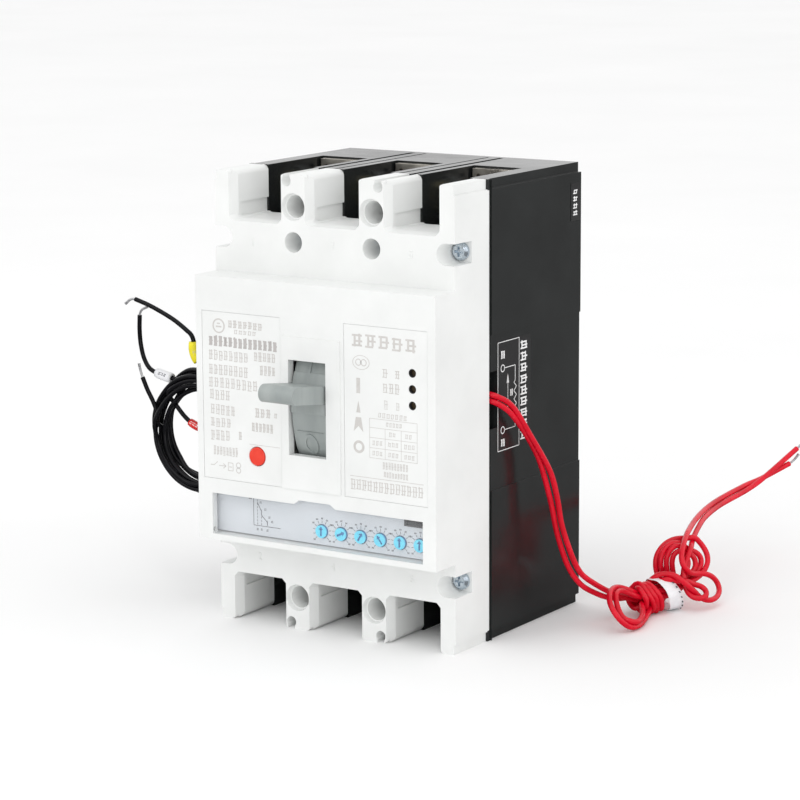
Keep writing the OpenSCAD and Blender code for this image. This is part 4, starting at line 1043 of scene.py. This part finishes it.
def coil_points(w):
    """A black lead's turns in the coil, its place in the bundle changing as it goes round."""
    first, last = COIL_SPANS[w]
    steps = int(abs(last - first) / 20)
    out = []
    for k in range(steps + 1):
        t = k / steps
        a = math.radians(first + (last - first) * t)
        turn = t * abs(last - first) / 360
        lay = math.radians(120 * w + 95 * turn) + 0.5 * math.sin(1.7 * turn * math.pi + w)
        small = BUNDLE_R + BUNDLE_SWELL * math.sin(2.3 * turn * math.pi + 2 * w)
        r = COIL_R + small * math.cos(lay)
        out.append([COIL_CENTRE[0] + r * math.cos(a), COIL_CENTRE[1] + small * math.sin(lay),
                    COIL_CENTRE[2] + r * math.sin(a)])
    return out


def black_route(w):
    return BLACK_EXITS[w] + coil_points(w) + BLACK_TAILS[w]


CORD_STEP = 1.2
# Points at each lead's start and end that stay where its route puts them
RED_HELD = [(68, 64), (70, 58)]
BLACK_HELD = [(14, 34), (14, 24), (14, 16)]
# The way each bare end bends
RED_TIP_WAYS = [(0.55, 0.3, 0.8), (0.5, 0.4, 0.7)]
BLACK_TIP_WAYS = [(-0.75, 0, -0.65), (0.9, 0, 0.4), (-0.25, 0, 1)]
# One marker tube on each black lead: (place, length, outer radius, skin, ink), in mm
MARKERS = [
    ((-77, 4, 83.2), 6.4, 1.8, YELLOW, INK_BOLD),
    ((-89.4, 3.5, 73.3), 8.0, 1.8, MARKER_WHITE, INK_PANEL),
    ((-77.0, 4.3, 56.4), 5.4, 1.45, MARKER_RED, INK_WHITE),
]
MARKER_BORE = BLACK_D / 2 + 0.05


def declare(obj, line):
    measured = float(np.linalg.norm(np.diff(line, axis=0), axis=1).sum())
    print("CORD", obj.name, round(measured, 1), "mm")


def build_cords():
    """The five leads with their bare ends, tie and marker tubes."""
    red = settle([catmull(red_route(w), CORD_STEP) for w in (0, 1)], RED_D, RED_HELD,
                 rounds=260, stiff=0.2)
    black = settle([catmull(black_route(w), CORD_STEP) for w in (0, 1, 2)], BLACK_D,
                   BLACK_HELD, floor=False)
    wires = {}
    for w, line in enumerate(red):
        wires[f"red_lead_{w + 1}_wire"] = (line, RED_D, RED_SKIN, "lead_red")
    for w, line in enumerate(black):
        wires[f"black_lead_{w + 1}_wire"] = (line, BLACK_D, BLACK_SKIN, "lead_black")
    made = {name: cord_curve(name, resample(line, 2 * CORD_STEP), d, skin)
            for name, (line, d, skin, slot) in wires.items()}

    tips = [bare_tip(f"red_tip_{w + 1}", line, way)
            for w, (line, way) in enumerate(zip(red, RED_TIP_WAYS))]
    tips += [bare_tip(f"black_tip_{w + 1}", line, way)
             for w, (line, way) in enumerate(zip(black, BLACK_TIP_WAYS))]
    tie = hank_tie()
    for w, (at, length, outer, skin, ink) in enumerate(MARKERS):
        name = f"marker_tube_{w + 1}"
        obj, part = sleeve(name, black[w], at, length, MARKER_BORE, outer, skin)
        marks = sleeve_marks(f"{name}_marks", part, outer, (0.5, -0.85, 0.3), ink)
    declare(made["red_lead_1_wire"], red[0])
    declare(made["red_lead_2_wire"], red[1])
    for w in range(3):
        declare(made[f"black_lead_{w + 1}_wire"], black[w])
    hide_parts("red_lead_1", "red_hank")
    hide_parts("red_lead_2")
    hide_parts("black_leads", "black_coil")
    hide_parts("hank_tie")
    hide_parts("marker_tubes")
    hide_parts("bare_lead_ends")


# ---------- floor and light ----------


def floor_material():
    """White paper that shows as grey in the object's own reflections, as in a dim studio."""
    m = surface("floor_paper", (0.93, 0.93, 0.93), (0.96, 0.96, 0.96), (0.7, 0.8), specular=0.2,
                tone=4)
    tree = m.node_tree
    shader = tree.nodes["Principled BSDF"]
    paper = shader.inputs["Base Color"].links[0].from_socket
    rays = tree.nodes.new("ShaderNodeLightPath")
    mixed = mix_colours(tree, rays.outputs["Is Glossy Ray"], paper, (0.25, 0.25, 0.25))
    tree.links.new(mixed, shader.inputs["Base Color"])
    return m


def add_floor():
    bm = bmesh.new()
    bmesh.ops.create_circle(bm, cap_ends=True, cap_tris=False, segments=64, radius=12)
    mesh = bpy.data.meshes.new("floor")
    bm.to_mesh(mesh)
    mesh.materials.append(floor_material())
    add_object("floor", mesh)


# ---------- everything together ----------

add_camera()
build_cords()
paint_nodes()
for node, edge in SOFT_EDGES.items():
    soften(node, edge)
print_rating_plate()
print_symbol_plate()
print_panel()
shade_led_holes()
print_side_labels()
emboss_numbers()
mark_shutter()
add_floor()
add_world(1.0)
add_light("key", (-0.5, -1.3, 1.5), (0, 0, 0.08), (1.2, 1.0), 4.0)
add_light("side", (1.7, -0.2, 0.9), (0, 0, 0.08), (0.9, 1.1), 2)
add_light("strip", (0.9, -0.9, 1.2), (0.05, 0, 0.06), (0.1, 0.6), 1.1)
add_light("low", (0.5, -1.2, 0.12), (0, 0, 0.03), (0.9, 0.2), 0.8)
bpy.context.scene.view_settings.view_transform = "Standard"
